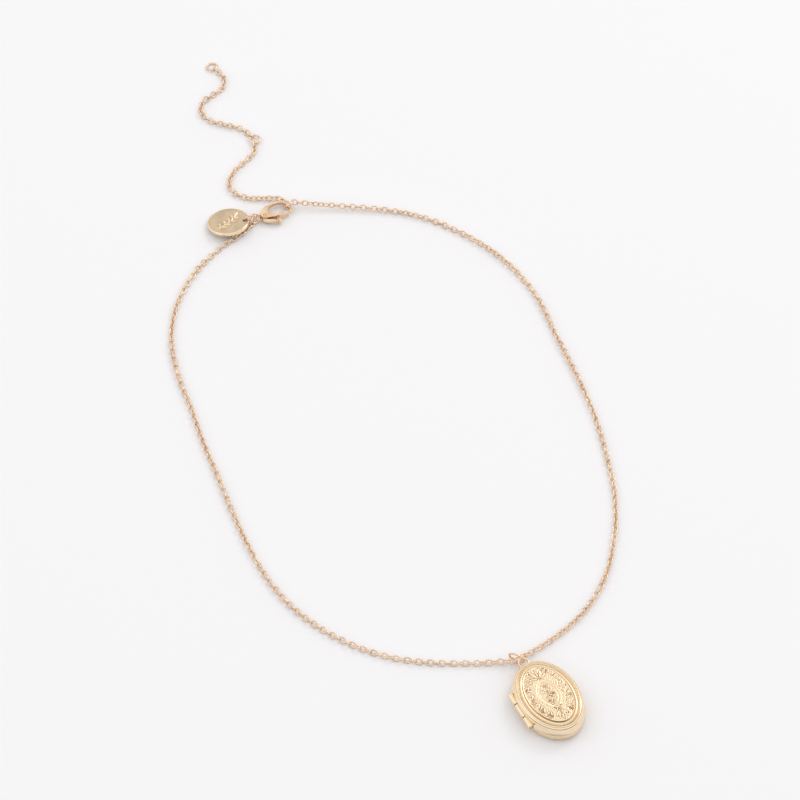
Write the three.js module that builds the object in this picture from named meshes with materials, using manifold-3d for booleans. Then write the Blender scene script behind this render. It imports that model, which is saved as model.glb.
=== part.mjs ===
// An oval locket on a fine cable chain, lying on its back on a flat surface.
// Millimetres, +Z up. The origin is the middle of the flat field on the locket's back,
// +Y points from the locket's middle to its bail, and the hinge is on the -X side.
// The chain, its clasp, its tag and its extender lie on the same surface, z = 0.

import * as THREE from 'three';
import { mergeVertices } from 'three/addons/utils/BufferGeometryUtils.js';
import Module from 'manifold-3d';

const wasm = await Module();
wasm.setup();

// ---- Locket: driving dimensions ----
const HALF_WIDTH = 8.6;
const HALF_LENGTH = 12.0;
const OVAL = HALF_LENGTH / HALF_WIDTH;
const THICKNESS = 5.5;
const PARTING_Z = 2.7;
const PARTING_GAP = 0.1;
const SHEET = 0.45;
const OVAL_SEGMENTS = 40;

// ---- Hinge ----
const HINGE_X = -8.0;
const BARREL_R = 0.8;
const BARREL_BORE_R = 0.42;
const PIN_R = 0.36;
const KNUCKLE_ENDS = [-5.7, -2.25, 2.25, 5.7];
const KNUCKLE_GAP = 0.1;
const BARREL_CLEARANCE = 0.12;
const OPEN_ANGLE = 150;

// ---- Fittings inside ----
const FRAME_OUTER = 7.55;
const FRAME_INNER = 5.8;
const FRAME_WALL_OUTER = 7.0;
const FRAME_WALL_INNER = 6.7;
const FRAME_LIP_Z = 2.2;
const FRAME_TOP_Z = 2.5;
const FRAME_FOOT_Z = 1.2;
const INSERT_R = 6.6;
const WINDOW_Z = [1.85, 2.1];
const CARD_Z = [1.45, 1.7];
const RIM_OUTER = 8.05;
const RIM_INNER = 7.7;
const RIM_Z = [1.6, 3.05];
const RIM_GAP_HALF_LENGTH = 6.6;
const RIM_GAP_R = 1.39;

// ---- Bail ----
const EYELET_R = 1.3;
const EYELET_WIRE_R = 0.3;
const EYELET_Y = 13.5;
const EYELET_Z = 2.3;
const EYELET_STEPS = 18;
const EYELET_START_ANGLE = -30;
const EYELET_SWEEP = 240;
const EYELET_FOOT = [0.94, 12.12];
const PENDANT_RING_R = 2.05;
const PENDANT_RING_WIRE_R = 0.3;
const PENDANT_RING_AT = [-0.92, 15.56, 2.36];
const PENDANT_RING_HEADING = -51.7;
const PENDANT_RING_LEAN = -12;

// ---- Chain ----
const CHAIN_R = 0.75;
const CHAIN_SIDES = 8;
const NECK_STEPS_BETWEEN_POINTS = 2;
const EXTENDER_STEPS_BETWEEN_POINTS = 1;
const RING_R = 1.5;
const RING_WIRE_R = 0.28;
const RING_SEGMENTS = 22;
const WIRE_SIDES = 8;

// ---- Clasp, in its own frame: X along it from the eye to the hook's end ----
const CLASP_AT = [6.86, 184.73, 1.3];
const CLASP_ANGLE = -5.4;
const CLASP_EYE = [0, 0.55];
const CLASP_EYE_R = 1.25;
const CLASP_EYE_HOLE_R = 0.8;
const CLASP_EYE_THICKNESS = 0.45;
const CLASP_THICKNESS = 2.0;
const HOOK_HALF_DEPTH = 0.5;
const HOOK_HALF_WIDTH = 0.45;
const SLOT_THICKNESS = 1.1;
const LEVER_THICKNESS = 0.8;
const LEVER_PIVOT = [1.5, 0.1];
const RIVET_R = 0.36;
const RIVET_HOLE_R = 0.42;
const SPRING_THICKNESS = 0.6;
const PAD_R = 0.34;
const PAD_STRETCH = 2.1;
const PAD_HEIGHT = 1.9;
const PAD_AT = [4.72, -2.6];
const PAD_TURN = -20;

// ---- Rings at the clasp ----
const CLASP_RING_R = 1.3;
const CLASP_RING_AT = [5.6, 185.42, 1.44];
const CLASP_RING_HEADING = 2;
const CLASP_RING_LEAN = 42;
const JUNCTION_RING_AT = [9.36, 1.9, 0.24];
const JUNCTION_RING_HEADING = 20;
const JUNCTION_RING_LEAN = 38;
const TAG_RING_R = 1.5;
const TAG_RING_WIRE_R = 0.24;
const TAG_RING_AT = [3.86, 185.42, 1.86];

// ---- Tag ----
const TAG_R = 6.0;
const TAG_THICKNESS = 0.9;
const TAG_TILT = 11;
const TAG_AT = [-1.78, 187.38, 1.64];
const TAG_HOLE_R = 0.6;
const TAG_HOLE_FROM_MIDDLE = 4.75;
const TAG_HOLE_HEADING = -27;
const TAG_RECESS_R = 5.45;
const TAG_RECESS = 0.15;

// ---- Extender rings ----
const MID_RING_AT = [19.3, 213.9, 0.3];
const END_RING_AT = [20.8, 246.2, 0.3];

// Where the chain's middle line runs, from the clasp ring round to the junction ring.
const NECK_ROUTE = [
  [4.2, 183.7, 0.8], [0.5, 182.7, 0.8], [-7.2, 180.5, 0.8], [-15, 177, 0.8], [-22.8, 171.5, 0.8],
  [-29, 164.8, 0.8], [-33.6, 157.2, 0.8], [-36.4, 150, 0.8], [-38.4, 141.4, 0.8], [-39.8, 131.5, 0.8],
  [-42, 118.8, 0.8], [-43.6, 106, 0.8], [-45.2, 94, 0.8], [-46.4, 82, 0.8], [-46.7, 71, 0.8],
  [-45.6, 60.5, 0.8], [-42.3, 50.2, 0.8], [-37, 40.6, 0.8], [-30, 32.3, 0.8], [-21.2, 25.6, 0.8],
  [-12.2, 20.8, 0.8], [-5.5, 17.6, 1.0], [-1.5, 15.8, 1.6], [3.4, 16.3, 1.1], [9.3, 17.4, 0.8],
  [18, 19.9, 0.8], [25.9, 23.9, 0.8], [33.2, 29.6, 0.8], [39.4, 37, 0.8], [44.7, 45, 0.8],
  [49.2, 54, 0.8], [53, 65, 0.8], [56.9, 78.8, 0.8], [59, 91, 0.8], [61.2, 108.5, 0.8],
  [63.2, 125.5, 0.8], [61.3, 140.5, 0.8], [55.6, 154.4, 0.8], [45.6, 167.8, 0.8], [18.85, 184.1, 0.8],
];

const EXTENDER_ROUTE_INNER = [
  [16.9, 187.75, 0.85], [15.4, 189.6, 0.8], [11.6, 191.7, 0.8], [7.7, 193.8, 0.8], [5, 197.4, 0.8],
  [5, 201.2, 0.8], [8, 204.8, 0.8], [12.9, 207.4, 0.8], [16.6, 209.3, 0.8], [18.35, 211.75, 0.8],
];

const EXTENDER_ROUTE_OUTER = [
  [18.95, 216.1, 0.8], [17.4, 219.6, 0.8], [14, 223, 0.8], [10.9, 226.6, 0.8], [10, 230.6, 0.8],
  [12.4, 234.2, 0.8], [16.6, 235.7, 0.8], [20.2, 237.2, 0.8], [21.9, 240.6, 0.8], [21.35, 244.05, 0.8],
];

const COLOURS = {
  gold: 0xe6c79c,
  bright: 0xf3dcb4,
  rose: 0xdca878,
  satin: 0xd2ad7c,
  card: 0xf2ece0,
  clear: 0xe9eef0,
  steel: 0xb9b4aa,
};

// ---- Helpers ----

function signedVolume(geometry) {
  const p = geometry.attributes.position;
  const index = geometry.index;
  const count = index ? index.count : p.count;
  const corner = (i) => new THREE.Vector3().fromBufferAttribute(p, index ? index.getX(i) : i);
  let total = 0;
  for (let i = 0; i < count; i += 3) {
    total += corner(i).dot(corner(i + 1).cross(corner(i + 2))) / 6;
  }
  return total;
}

// Welds a geometry to bare positions, drops collapsed triangles and turns its faces outwards.
function tidy(geometry) {
  const bare = geometry.clone();
  bare.deleteAttribute('normal');
  bare.deleteAttribute('uv');
  const welded = mergeVertices(bare, 1e-4);
  const flip = signedVolume(welded) < 0;
  const kept = [];
  for (let i = 0; i < welded.index.count; i += 3) {
    const [a, b, c] = [0, 1, 2].map((k) => welded.index.getX(i + k));
    if (a !== b && b !== c && a !== c) {
      kept.push(...(flip ? [a, c, b] : [a, b, c]));
    }
  }
  welded.setIndex(kept);
  return welded;
}

function toSolid(geometry) {
  const welded = tidy(geometry);
  return new wasm.Manifold(new wasm.Mesh({
    numProp: 3,
    vertProperties: new Float32Array(welded.attributes.position.array),
    triVerts: new Uint32Array(welded.index.array),
  }));
}

function toGeometry(solid) {
  const mesh = solid.getMesh();
  const geometry = new THREE.BufferGeometry();
  geometry.setAttribute('position', new THREE.BufferAttribute(mesh.vertProperties, 3));
  geometry.setIndex(new THREE.BufferAttribute(mesh.triVerts, 1));
  return geometry;
}

function cut(geometry, ...cutters) {
  return toGeometry(cutters.reduce((rest, cutter) => rest.subtract(toSolid(cutter)), toSolid(geometry)));
}

function join(...geometries) {
  return toGeometry(geometries.map(toSolid).reduce((all, one) => all.add(one)));
}

function named(name, geometry, colour, roughness = 0.25, metalness = 1) {
  const material = new THREE.MeshStandardMaterial({ color: colour, roughness, metalness });
  const mesh = new THREE.Mesh(tidy(geometry), material);
  mesh.name = name;
  return mesh;
}

// A closed profile of [radius, height] pairs turned about Z and stretched to the locket's oval.
function ovalTurned(profile) {
  const points = profile.map(([r, z]) => new THREE.Vector2(r, z));
  return new THREE.LatheGeometry(points, OVAL_SEGMENTS).rotateX(Math.PI / 2).scale(1, OVAL, 1);
}

function closedProfile(profile) {
  return [...profile, profile[0]];
}

function flipOverParting(profile) {
  return profile.map(([r, z]) => [r, 2 * PARTING_Z - z]);
}

function cylinderAlongY(radius, fromY, toY, x, z, segments = 20) {
  return new THREE.CylinderGeometry(radius, radius, toY - fromY, segments)
    .translate(x, (fromY + toY) / 2, z);
}

function cylinderAlongZ(radius, fromZ, toZ, x, y, segments = 20) {
  return new THREE.CylinderGeometry(radius, radius, toZ - fromZ, segments)
    .rotateX(Math.PI / 2).translate(x, y, (fromZ + toZ) / 2);
}

function polygonSection(radiusX, radiusY, sides) {
  const corners = [];
  for (let i = 0; i < sides; i += 1) {
    const angle = (2 * Math.PI * i) / sides;
    corners.push(new THREE.Vector2(radiusX * Math.cos(angle), radiusY * Math.sin(angle)));
  }
  return new THREE.Shape(corners);
}

function tubeAlong(curve, section, steps) {
  return new THREE.ExtrudeGeometry(section, { steps, extrudePath: curve, bevelEnabled: false });
}

function smoothThrough(points) {
  return new THREE.CatmullRomCurve3(points.map((p) => new THREE.Vector3(...p)), false, 'centripetal');
}

// A smooth curve with the same number of steps between any two neighbouring points.
class PointedRun extends THREE.CatmullRomCurve3 {
  getUtoTmapping(u) {
    return u;
  }
}

function plate(outline, thickness) {
  const shape = new THREE.Shape(outline.map(([x, y]) => new THREE.Vector2(x, y)));
  const geometry = new THREE.ExtrudeGeometry(shape, { depth: thickness, bevelEnabled: false });
  return geometry.translate(0, 0, -thickness / 2);
}

function ring(radius, wireRadius) {
  return new THREE.TorusGeometry(radius, wireRadius, WIRE_SIDES, RING_SEGMENTS);
}

// A ring standing on edge, its level diameter along the heading, leaned over sideways by the lean.
function standingRing(name, radius, wireRadius, at, heading, lean, colour) {
  const mesh = named(name, ring(radius, wireRadius), colour);
  const tilt = THREE.MathUtils.degToRad(90 - lean);
  const turn = THREE.MathUtils.degToRad(heading);
  mesh.setRotationFromEuler(new THREE.Euler(tilt, 0, turn, 'ZYX'));
  mesh.position.set(...at);
  return mesh;
}

// ---- Locket shells ----

const BACK_PROFILE = [
  [0, 0], [6.6, 0], [7.35, 0.1], [7.95, 0.42], [8.38, 0.95], [HALF_WIDTH, 1.65],
  [HALF_WIDTH, PARTING_Z - PARTING_GAP / 2], [HALF_WIDTH - SHEET, PARTING_Z - PARTING_GAP / 2],
  [HALF_WIDTH - SHEET, 1.7], [7.95, 1.2], [7.6, 0.75], [7.0, SHEET], [0, SHEET],
];

const COVER_PROFILE = [
  [0, THICKNESS], [3.2, 5.43], [5.55, 5.24], [5.7, 5.14], [7.1, 5.14], [7.25, 5.16], [7.5, 5.0], [7.72, 4.8],
  [8.08, 4.32], [8.24, 3.95], [8.3, 3.72], [8.48, 3.44], [HALF_WIDTH, 3.1],
  [HALF_WIDTH, PARTING_Z + PARTING_GAP / 2], [HALF_WIDTH - SHEET, PARTING_Z + PARTING_GAP / 2],
  [HALF_WIDTH - SHEET, 3.12], [8.0, 3.4], [7.8, 3.95], [7.6, 4.2], [7.3, 4.5], [6.95, 4.68], [5.55, 4.74],
  [3.2, 4.98], [0, 5.05],
];

function barrelClearance() {
  const end = KNUCKLE_ENDS[3] + BARREL_CLEARANCE;
  return cylinderAlongY(BARREL_R + BARREL_CLEARANCE, -end, end, HINGE_X, PARTING_Z);
}

// The wedge beside the hinge that a shell must leave free for the other one to open this far.
function openingRelief(side) {
  const slope = THREE.MathUtils.degToRad(OPEN_ANGLE / 2 + 3);
  const reach = 3;
  const outline = [
    [0, 0],
    [-reach, 0],
    [-reach, side * reach],
    [-reach * Math.cos(slope), side * reach * Math.sin(slope)],
  ];
  return plate(outline, 2 * KNUCKLE_ENDS[3]).rotateX(Math.PI / 2).translate(HINGE_X, 0, PARTING_Z);
}

function backShell() {
  const shell = cut(ovalTurned(BACK_PROFILE), barrelClearance(), openingRelief(-1));
  return named('back_shell', shell, COLOURS.gold);
}

function frontCover() {
  const cover = cut(ovalTurned(COVER_PROFILE), barrelClearance(), openingRelief(1));
  return named('front_cover', cover, COLOURS.gold);
}

function closingRim() {
  const [low, high] = RIM_Z;
  const profile = closedProfile([[RIM_INNER, low], [RIM_OUTER, low], [RIM_OUTER, high], [RIM_INNER, high]]);
  const roundGap = cylinderAlongY(RIM_GAP_R, -RIM_GAP_HALF_LENGTH, RIM_GAP_HALF_LENGTH, HINGE_X, PARTING_Z);
  const squareGap = new THREE.BoxGeometry(2 * BARREL_R, 2 * RIM_GAP_HALF_LENGTH, 2 * (high - low));
  squareGap.translate(HINGE_X, 0, (low + high) / 2);
  return named('closing_rim', cut(ovalTurned(profile), roundGap, squareGap), COLOURS.gold);
}

// ---- Hinge ----

function tubeAlongY(outerR, innerR, fromY, toY) {
  const bore = cylinderAlongY(innerR, fromY - 1, toY + 1, HINGE_X, PARTING_Z);
  return cut(cylinderAlongY(outerR, fromY, toY, HINGE_X, PARTING_Z), bore);
}

function hinge() {
  const names = ['hinge_knuckle_lower', 'hinge_knuckle_middle', 'hinge_knuckle_upper'];
  const knuckles = names.map((name, i) => {
    const fromY = KNUCKLE_ENDS[i] + (i > 0 ? KNUCKLE_GAP / 2 : 0);
    const toY = KNUCKLE_ENDS[i + 1] - (i < 2 ? KNUCKLE_GAP / 2 : 0);
    return named(name, tubeAlongY(BARREL_R, BARREL_BORE_R, fromY, toY), COLOURS.bright);
  });
  const pin = cylinderAlongY(PIN_R, KNUCKLE_ENDS[0], KNUCKLE_ENDS[3], HINGE_X, PARTING_Z, 16);
  return [...knuckles, named('hinge_pin', pin, COLOURS.steel)];
}

// ---- Picture frames, windows and cards ----

function insideFittings(half) {
  const place = half === 'back' ? (profile) => profile : flipOverParting;
  const frameProfile = closedProfile([
    [FRAME_INNER, FRAME_LIP_Z], [FRAME_WALL_INNER, FRAME_LIP_Z], [FRAME_WALL_INNER, FRAME_FOOT_Z],
    [FRAME_WALL_OUTER, FRAME_FOOT_Z], [FRAME_WALL_OUTER, FRAME_LIP_Z], [FRAME_OUTER, FRAME_LIP_Z],
    [FRAME_OUTER, FRAME_TOP_Z], [FRAME_INNER, FRAME_TOP_Z],
  ]);
  const disc = ([low, high]) => [[0, low], [INSERT_R, low], [INSERT_R, high], [0, high]];
  return [
    named(`photo_frame_${half}`, cut(ovalTurned(place(frameProfile)), barrelClearance()), COLOURS.bright),
    named(`photo_window_${half}`, ovalTurned(place(disc(WINDOW_Z))), COLOURS.clear, 0.05, 0),
    named(`photo_card_${half}`, ovalTurned(place(disc(CARD_Z))), COLOURS.card, 0.9, 0),
  ];
}

// ---- Bail ----

function bailEyelet() {
  const arcPoints = 12;
  const arc = [];
  for (let i = 0; i <= arcPoints; i += 1) {
    const angle = THREE.MathUtils.degToRad(EYELET_START_ANGLE + (EYELET_SWEEP * i) / arcPoints);
    arc.push([EYELET_R * Math.cos(angle), EYELET_Y + EYELET_R * Math.sin(angle), EYELET_Z]);
  }
  const [footX, footY] = EYELET_FOOT;
  const path = smoothThrough([[footX, footY, EYELET_Z], ...arc, [-footX, footY, EYELET_Z]]);
  const section = polygonSection(EYELET_WIRE_R, EYELET_WIRE_R, WIRE_SIDES);
  return named('bail_eyelet', tubeAlong(path, section, EYELET_STEPS), COLOURS.gold);
}

function pendantRing() {
  return standingRing('pendant_ring', PENDANT_RING_R, PENDANT_RING_WIRE_R, PENDANT_RING_AT,
    PENDANT_RING_HEADING, PENDANT_RING_LEAN, COLOURS.rose);
}

// ---- Chains ----

function chains() {
  const section = polygonSection(CHAIN_R, CHAIN_R, CHAIN_SIDES);
  const runs = [
    ['neck_chain', NECK_ROUTE, NECK_STEPS_BETWEEN_POINTS],
    ['extender_chain_inner', EXTENDER_ROUTE_INNER, EXTENDER_STEPS_BETWEEN_POINTS],
    ['extender_chain_outer', EXTENDER_ROUTE_OUTER, EXTENDER_STEPS_BETWEEN_POINTS],
  ];
  return runs.map(([name, route, stepsBetween]) => {
    const points = route.map((point) => new THREE.Vector3(...point));
    const run = new PointedRun(points, false, 'centripetal');
    return named(name, tubeAlong(run, section, (route.length - 1) * stepsBetween), COLOURS.rose, 0.3);
  });
}

function flatRing(name, at) {
  const mesh = named(name, ring(RING_R, RING_WIRE_R), COLOURS.rose);
  mesh.position.set(...at);
  return mesh;
}

// ---- Clasp ----

const HOUSING = [
  [0.35, -0.25], [0.9, -0.25], [2.1, -0.65], [3.9, -1.15], [4.9, -1.15], [5.0, -0.3], [4.55, 0.75],
  [4.05, 1.9], [4.1, 3.3], [3.5, 4.05], [2.3, 3.5], [1.1, 2.6], [0.1, 1.45],
];

const HOOK_PATH = [
  [2.6, 3.1, 0], [4.2, 3.72, 0], [5.9, 3.95, 0], [7.4, 3.6, 0],
  [8.5, 2.7, 0], [9.0, 1.5, 0], [9.05, 0.2, 0], [8.95, -0.8, 0],
];

const LEVER = [
  [0.95, 0.4], [0.75, -0.55], [0.5, -1.05], [0.85, -1.5], [2.3, -2.3], [3.9, -2.95],
  [4.9, -3.3], [5.15, -2.6], [4.95, -1.85], [4.2, -1.85], [3.0, -1.4], [1.9, -0.98],
  [1.9, -0.55], [3.0, -0.55], [4.6, -0.95], [7.2, -1.12], [8.35, -0.9], [8.35, -0.5],
  [6.2, -0.4], [5.0, 0.05], [3.2, 0.65], [1.9, 0.85],
];

const SLOT = [[0.3, -2], [0.3, 0.75], [1.1, 1.5], [5.6, 1.5], [5.6, -2]];

const LEAF_SPRING = [[0.95, 0.98], [2.2, 1.26], [3.7, 1.0], [3.74, 1.12], [2.2, 1.4], [0.9, 1.1]];

function claspBody() {
  const hookSection = polygonSection(HOOK_HALF_DEPTH, HOOK_HALF_WIDTH, 10);
  const hook = tubeAlong(smoothThrough(HOOK_PATH), hookSection, 14);
  const eye = cylinderAlongZ(CLASP_EYE_R, -CLASP_EYE_THICKNESS / 2, CLASP_EYE_THICKNESS / 2, ...CLASP_EYE);
  const eyeHole = cylinderAlongZ(CLASP_EYE_HOLE_R, -1, 1, ...CLASP_EYE, 16);
  const rivetHole = cylinderAlongZ(RIVET_HOLE_R, -2, 2, ...LEVER_PIVOT, 16);
  const whole = join(plate(HOUSING, CLASP_THICKNESS), hook, eye);
  return named('clasp_body', cut(whole, eyeHole, rivetHole, plate(SLOT, SLOT_THICKNESS)), COLOURS.gold);
}

function claspLever() {
  const pad = cylinderAlongZ(PAD_R, -PAD_HEIGHT / 2, PAD_HEIGHT / 2, 0, 0, 12)
    .scale(1, PAD_STRETCH, 1).rotateZ(THREE.MathUtils.degToRad(PAD_TURN)).translate(...PAD_AT, 0);
  const rivetHole = cylinderAlongZ(RIVET_HOLE_R, -2, 2, ...LEVER_PIVOT, 16);
  return named('clasp_lever', cut(join(plate(LEVER, LEVER_THICKNESS), pad), rivetHole), COLOURS.gold);
}

function clasp() {
  const group = new THREE.Group();
  group.position.set(...CLASP_AT);
  group.rotation.z = THREE.MathUtils.degToRad(CLASP_ANGLE);
  const half = CLASP_THICKNESS / 2;
  group.add(
    claspBody(),
    claspLever(),
    named('clasp_rivet', cylinderAlongZ(RIVET_R, -half, half, ...LEVER_PIVOT, 16), COLOURS.bright),
    named('clasp_spring', plate(LEAF_SPRING, SPRING_THICKNESS), COLOURS.steel),
  );
  group.add(standingRing('junction_ring', RING_R, RING_WIRE_R, JUNCTION_RING_AT,
    JUNCTION_RING_HEADING, -JUNCTION_RING_LEAN, COLOURS.rose));
  return group;
}

// ---- Tag ----

function tag() {
  const disc = cylinderAlongZ(TAG_R, -TAG_THICKNESS / 2, TAG_THICKNESS / 2, 0, 0, 36);
  const recess = cylinderAlongZ(TAG_RECESS_R, TAG_THICKNESS / 2 - TAG_RECESS, 1, 0, 0, 36);
  const heading = THREE.MathUtils.degToRad(TAG_HOLE_HEADING);
  const holeX = TAG_HOLE_FROM_MIDDLE * Math.cos(heading);
  const holeY = TAG_HOLE_FROM_MIDDLE * Math.sin(heading);
  const hole = cylinderAlongZ(TAG_HOLE_R, -1, 1, holeX, holeY, 16);
  const mesh = named('tag', cut(disc, recess, hole), COLOURS.satin, 0.45);
  mesh.position.set(...TAG_AT);
  mesh.rotation.x = THREE.MathUtils.degToRad(-TAG_TILT);
  return mesh;
}

// ---- The whole object ----

const locket = new THREE.Group();
locket.add(
  backShell(),
  frontCover(),
  closingRim(),
  ...hinge(),
  ...insideFittings('back'),
  ...insideFittings('front'),
  bailEyelet(),
  pendantRing(),
  ...chains(),
  flatRing('extender_mid_ring', MID_RING_AT),
  flatRing('extender_end_ring', END_RING_AT),
  standingRing('clasp_ring', CLASP_RING_R, RING_WIRE_R, CLASP_RING_AT,
    CLASP_RING_HEADING, CLASP_RING_LEAN, COLOURS.rose),
  standingRing('tag_ring', TAG_RING_R, TAG_RING_WIRE_R, TAG_RING_AT, 0, 0, COLOURS.rose),
  tag(),
  clasp(),
);

export default locket;
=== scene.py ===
"""An oval engraved locket on a cable chain, lying on a pale surface.

Shapes are modelled in millimetres in the part's own frame and scaled to metres as each mesh is made:
+Z up, +Y from the locket's middle to its bail, -X to the hinge, the surface at z = 0.
"""

import math

import bpy
import numpy as np
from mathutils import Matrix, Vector


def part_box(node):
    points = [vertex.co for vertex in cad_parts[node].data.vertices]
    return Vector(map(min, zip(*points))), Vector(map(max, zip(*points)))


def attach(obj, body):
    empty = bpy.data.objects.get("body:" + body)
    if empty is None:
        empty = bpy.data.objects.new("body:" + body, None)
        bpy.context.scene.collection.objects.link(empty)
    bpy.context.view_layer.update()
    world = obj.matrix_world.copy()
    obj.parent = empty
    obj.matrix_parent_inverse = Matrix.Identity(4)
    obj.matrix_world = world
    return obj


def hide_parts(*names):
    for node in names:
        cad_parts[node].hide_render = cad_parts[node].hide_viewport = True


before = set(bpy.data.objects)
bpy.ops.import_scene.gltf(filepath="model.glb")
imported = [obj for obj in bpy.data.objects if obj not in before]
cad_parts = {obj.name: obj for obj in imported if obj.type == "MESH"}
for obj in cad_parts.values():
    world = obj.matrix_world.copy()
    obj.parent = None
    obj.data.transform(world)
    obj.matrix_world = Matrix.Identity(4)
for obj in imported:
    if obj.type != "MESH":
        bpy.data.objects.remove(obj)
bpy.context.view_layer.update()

MM = 0.001
TAU = 2 * math.pi

# ---- Camera ----
TARGET = (12.44, 108.25, 0.0)
VIEW_HEADING = (0.454, 0.891)
VIEW_ELEVATION = 50.3
VIEW_DISTANCE = 1087.4
LENS = 179.1

# ---- Light ----
WORLD_STRENGTH = 0.98
LIGHTS = (
    ("key", (0.95, 0.5, 0.95), 0.5, 2.2, (1.0, 0.985, 0.97)),
    ("fill", (-0.9, 0.5, 1.0), 0.9, 0.7, (0.97, 0.98, 1.0)),
)

# ---- Locket ----
HALF_WIDTH = 8.6
HALF_LENGTH = 12.0
PARTING_Z = 2.7
PARTING_GAP = 0.1
CORE_INSET = 2.95
FIELD_CELLS = 190
OVAL_STEPS = 4 * FIELD_CELLS
PLAIN_OVAL_STEPS = 160

# ---- Chain ----
WIRE_R = 0.2
LINK_PITCH = 1.51
LINK_HALF_LENGTH = 0.945
LINK_HALF_WIDTH = 0.675
CHAIN_BASE_Z = 0.8

NECK_ROUTE = [
    (4.2, 183.7, 0.8), (0.5, 182.7, 0.8), (-7.2, 180.5, 0.8), (-15, 177, 0.8), (-22.8, 171.5, 0.8),
    (-29, 164.8, 0.8), (-33.6, 157.2, 0.8), (-36.4, 150, 0.8), (-38.4, 141.4, 0.8), (-39.8, 131.5, 0.8),
    (-42, 118.8, 0.8), (-43.6, 106, 0.8), (-45.2, 94, 0.8), (-46.4, 82, 0.8), (-46.7, 71, 0.8),
    (-45.6, 60.5, 0.8), (-42.3, 50.2, 0.8), (-37, 40.6, 0.8), (-30, 32.3, 0.8), (-21.2, 25.6, 0.8),
    (-12.2, 20.8, 0.8), (-5.5, 17.6, 1.0), (-1.5, 15.8, 1.6), (3.4, 16.3, 1.1), (9.3, 17.4, 0.8),
    (18, 19.9, 0.8), (25.9, 23.9, 0.8), (33.2, 29.6, 0.8), (39.4, 37, 0.8), (44.7, 45, 0.8),
    (49.2, 54, 0.8), (53, 65, 0.8), (56.9, 78.8, 0.8), (59, 91, 0.8), (61.2, 108.5, 0.8),
    (63.2, 125.5, 0.8), (61.3, 140.5, 0.8), (55.6, 154.4, 0.8), (45.6, 167.8, 0.8), (18.85, 184.1, 0.8),
]
EXTENDER_ROUTE_INNER = [
    (16.9, 187.75, 0.85), (15.4, 189.6, 0.8), (11.6, 191.7, 0.8), (7.7, 193.8, 0.8), (5, 197.4, 0.8),
    (5, 201.2, 0.8), (8, 204.8, 0.8), (12.9, 207.4, 0.8), (16.6, 209.3, 0.8), (18.35, 211.75, 0.8),
]
EXTENDER_ROUTE_OUTER = [
    (18.95, 216.1, 0.8), (17.4, 219.6, 0.8), (14, 223, 0.8), (10.9, 226.6, 0.8), (10, 230.6, 0.8),
    (12.4, 234.2, 0.8), (16.6, 235.7, 0.8), (20.2, 237.2, 0.8), (21.9, 240.6, 0.8), (21.35, 244.05, 0.8),
]


# ---- Mesh helpers ----

def make_object(name, points, faces, material, sharp_angle=40):
    """A mesh object from points in millimetres."""
    mesh = bpy.data.meshes.new(name)
    mesh.from_pydata((np.asarray(points, float) * MM).tolist(), [], faces)
    mesh.validate()
    mesh.update()
    return finish_object(name, mesh, material, sharp_angle)


def finish_object(name, mesh, material, sharp_angle=40):
    mesh.shade_smooth()
    mesh.set_sharp_from_angle(angle=math.radians(sharp_angle))
    mesh.materials.clear()
    mesh.materials.append(material)
    obj = bpy.data.objects.new(name, mesh)
    bpy.context.scene.collection.objects.link(obj)
    return obj


def grid_faces(rows, columns, rows_closed, columns_closed, start=0):
    """Quads over a grid of points stored row by row."""
    faces = []
    for r in range(rows if rows_closed else rows - 1):
        for c in range(columns if columns_closed else columns - 1):
            r2, c2 = (r + 1) % rows, (c + 1) % columns
            faces.append((start + r * columns + c, start + r * columns + c2,
                          start + r2 * columns + c2, start + r2 * columns + c))
    return faces


def merge(parts):
    """Several (points, faces) lists as one."""
    points, faces, start = [], [], 0
    for p, f in parts:
        points.append(np.asarray(p, float))
        faces.extend(tuple(start + i for i in face) for face in f)
        start += len(p)
    return np.concatenate(points), faces


def unit(v):
    v = np.asarray(v, float)
    return v / np.linalg.norm(v, axis=-1, keepdims=True)


def smooth_line(route, per_span=12):
    """The centripetal Catmull-Rom curve through the points."""
    p = np.array([2 * np.array(route[0]) - route[1], *route, 2 * np.array(route[-1]) - route[-2]], float)
    line = []
    for a, b, c, d in zip(p, p[1:], p[2:], p[3:]):
        knots = np.cumsum([0, *(np.linalg.norm(y - x) ** 0.5 for x, y in ((a, b), (b, c), (c, d)))])
        t0, t1, t2, t3 = knots
        for t in np.linspace(t1, t2, per_span, endpoint=False):
            ab = ((t1 - t) * a + (t - t0) * b) / (t1 - t0)
            bc = ((t2 - t) * b + (t - t1) * c) / (t2 - t1)
            cd = ((t3 - t) * c + (t - t2) * d) / (t3 - t2)
            abc = ((t2 - t) * ab + (t - t0) * bc) / (t2 - t0)
            bcd = ((t3 - t) * bc + (t - t1) * cd) / (t3 - t1)
            line.append(((t2 - t) * abc + (t - t1) * bcd) / (t2 - t1))
    return np.array([*line, p[-2]])


def lengths_along(line):
    return np.concatenate([[0], np.cumsum(np.linalg.norm(np.diff(line, axis=0), axis=1))])


def at_length(line, along, s):
    return np.stack([np.interp(s, along, line[:, k]) for k in range(3)], axis=-1)


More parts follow.
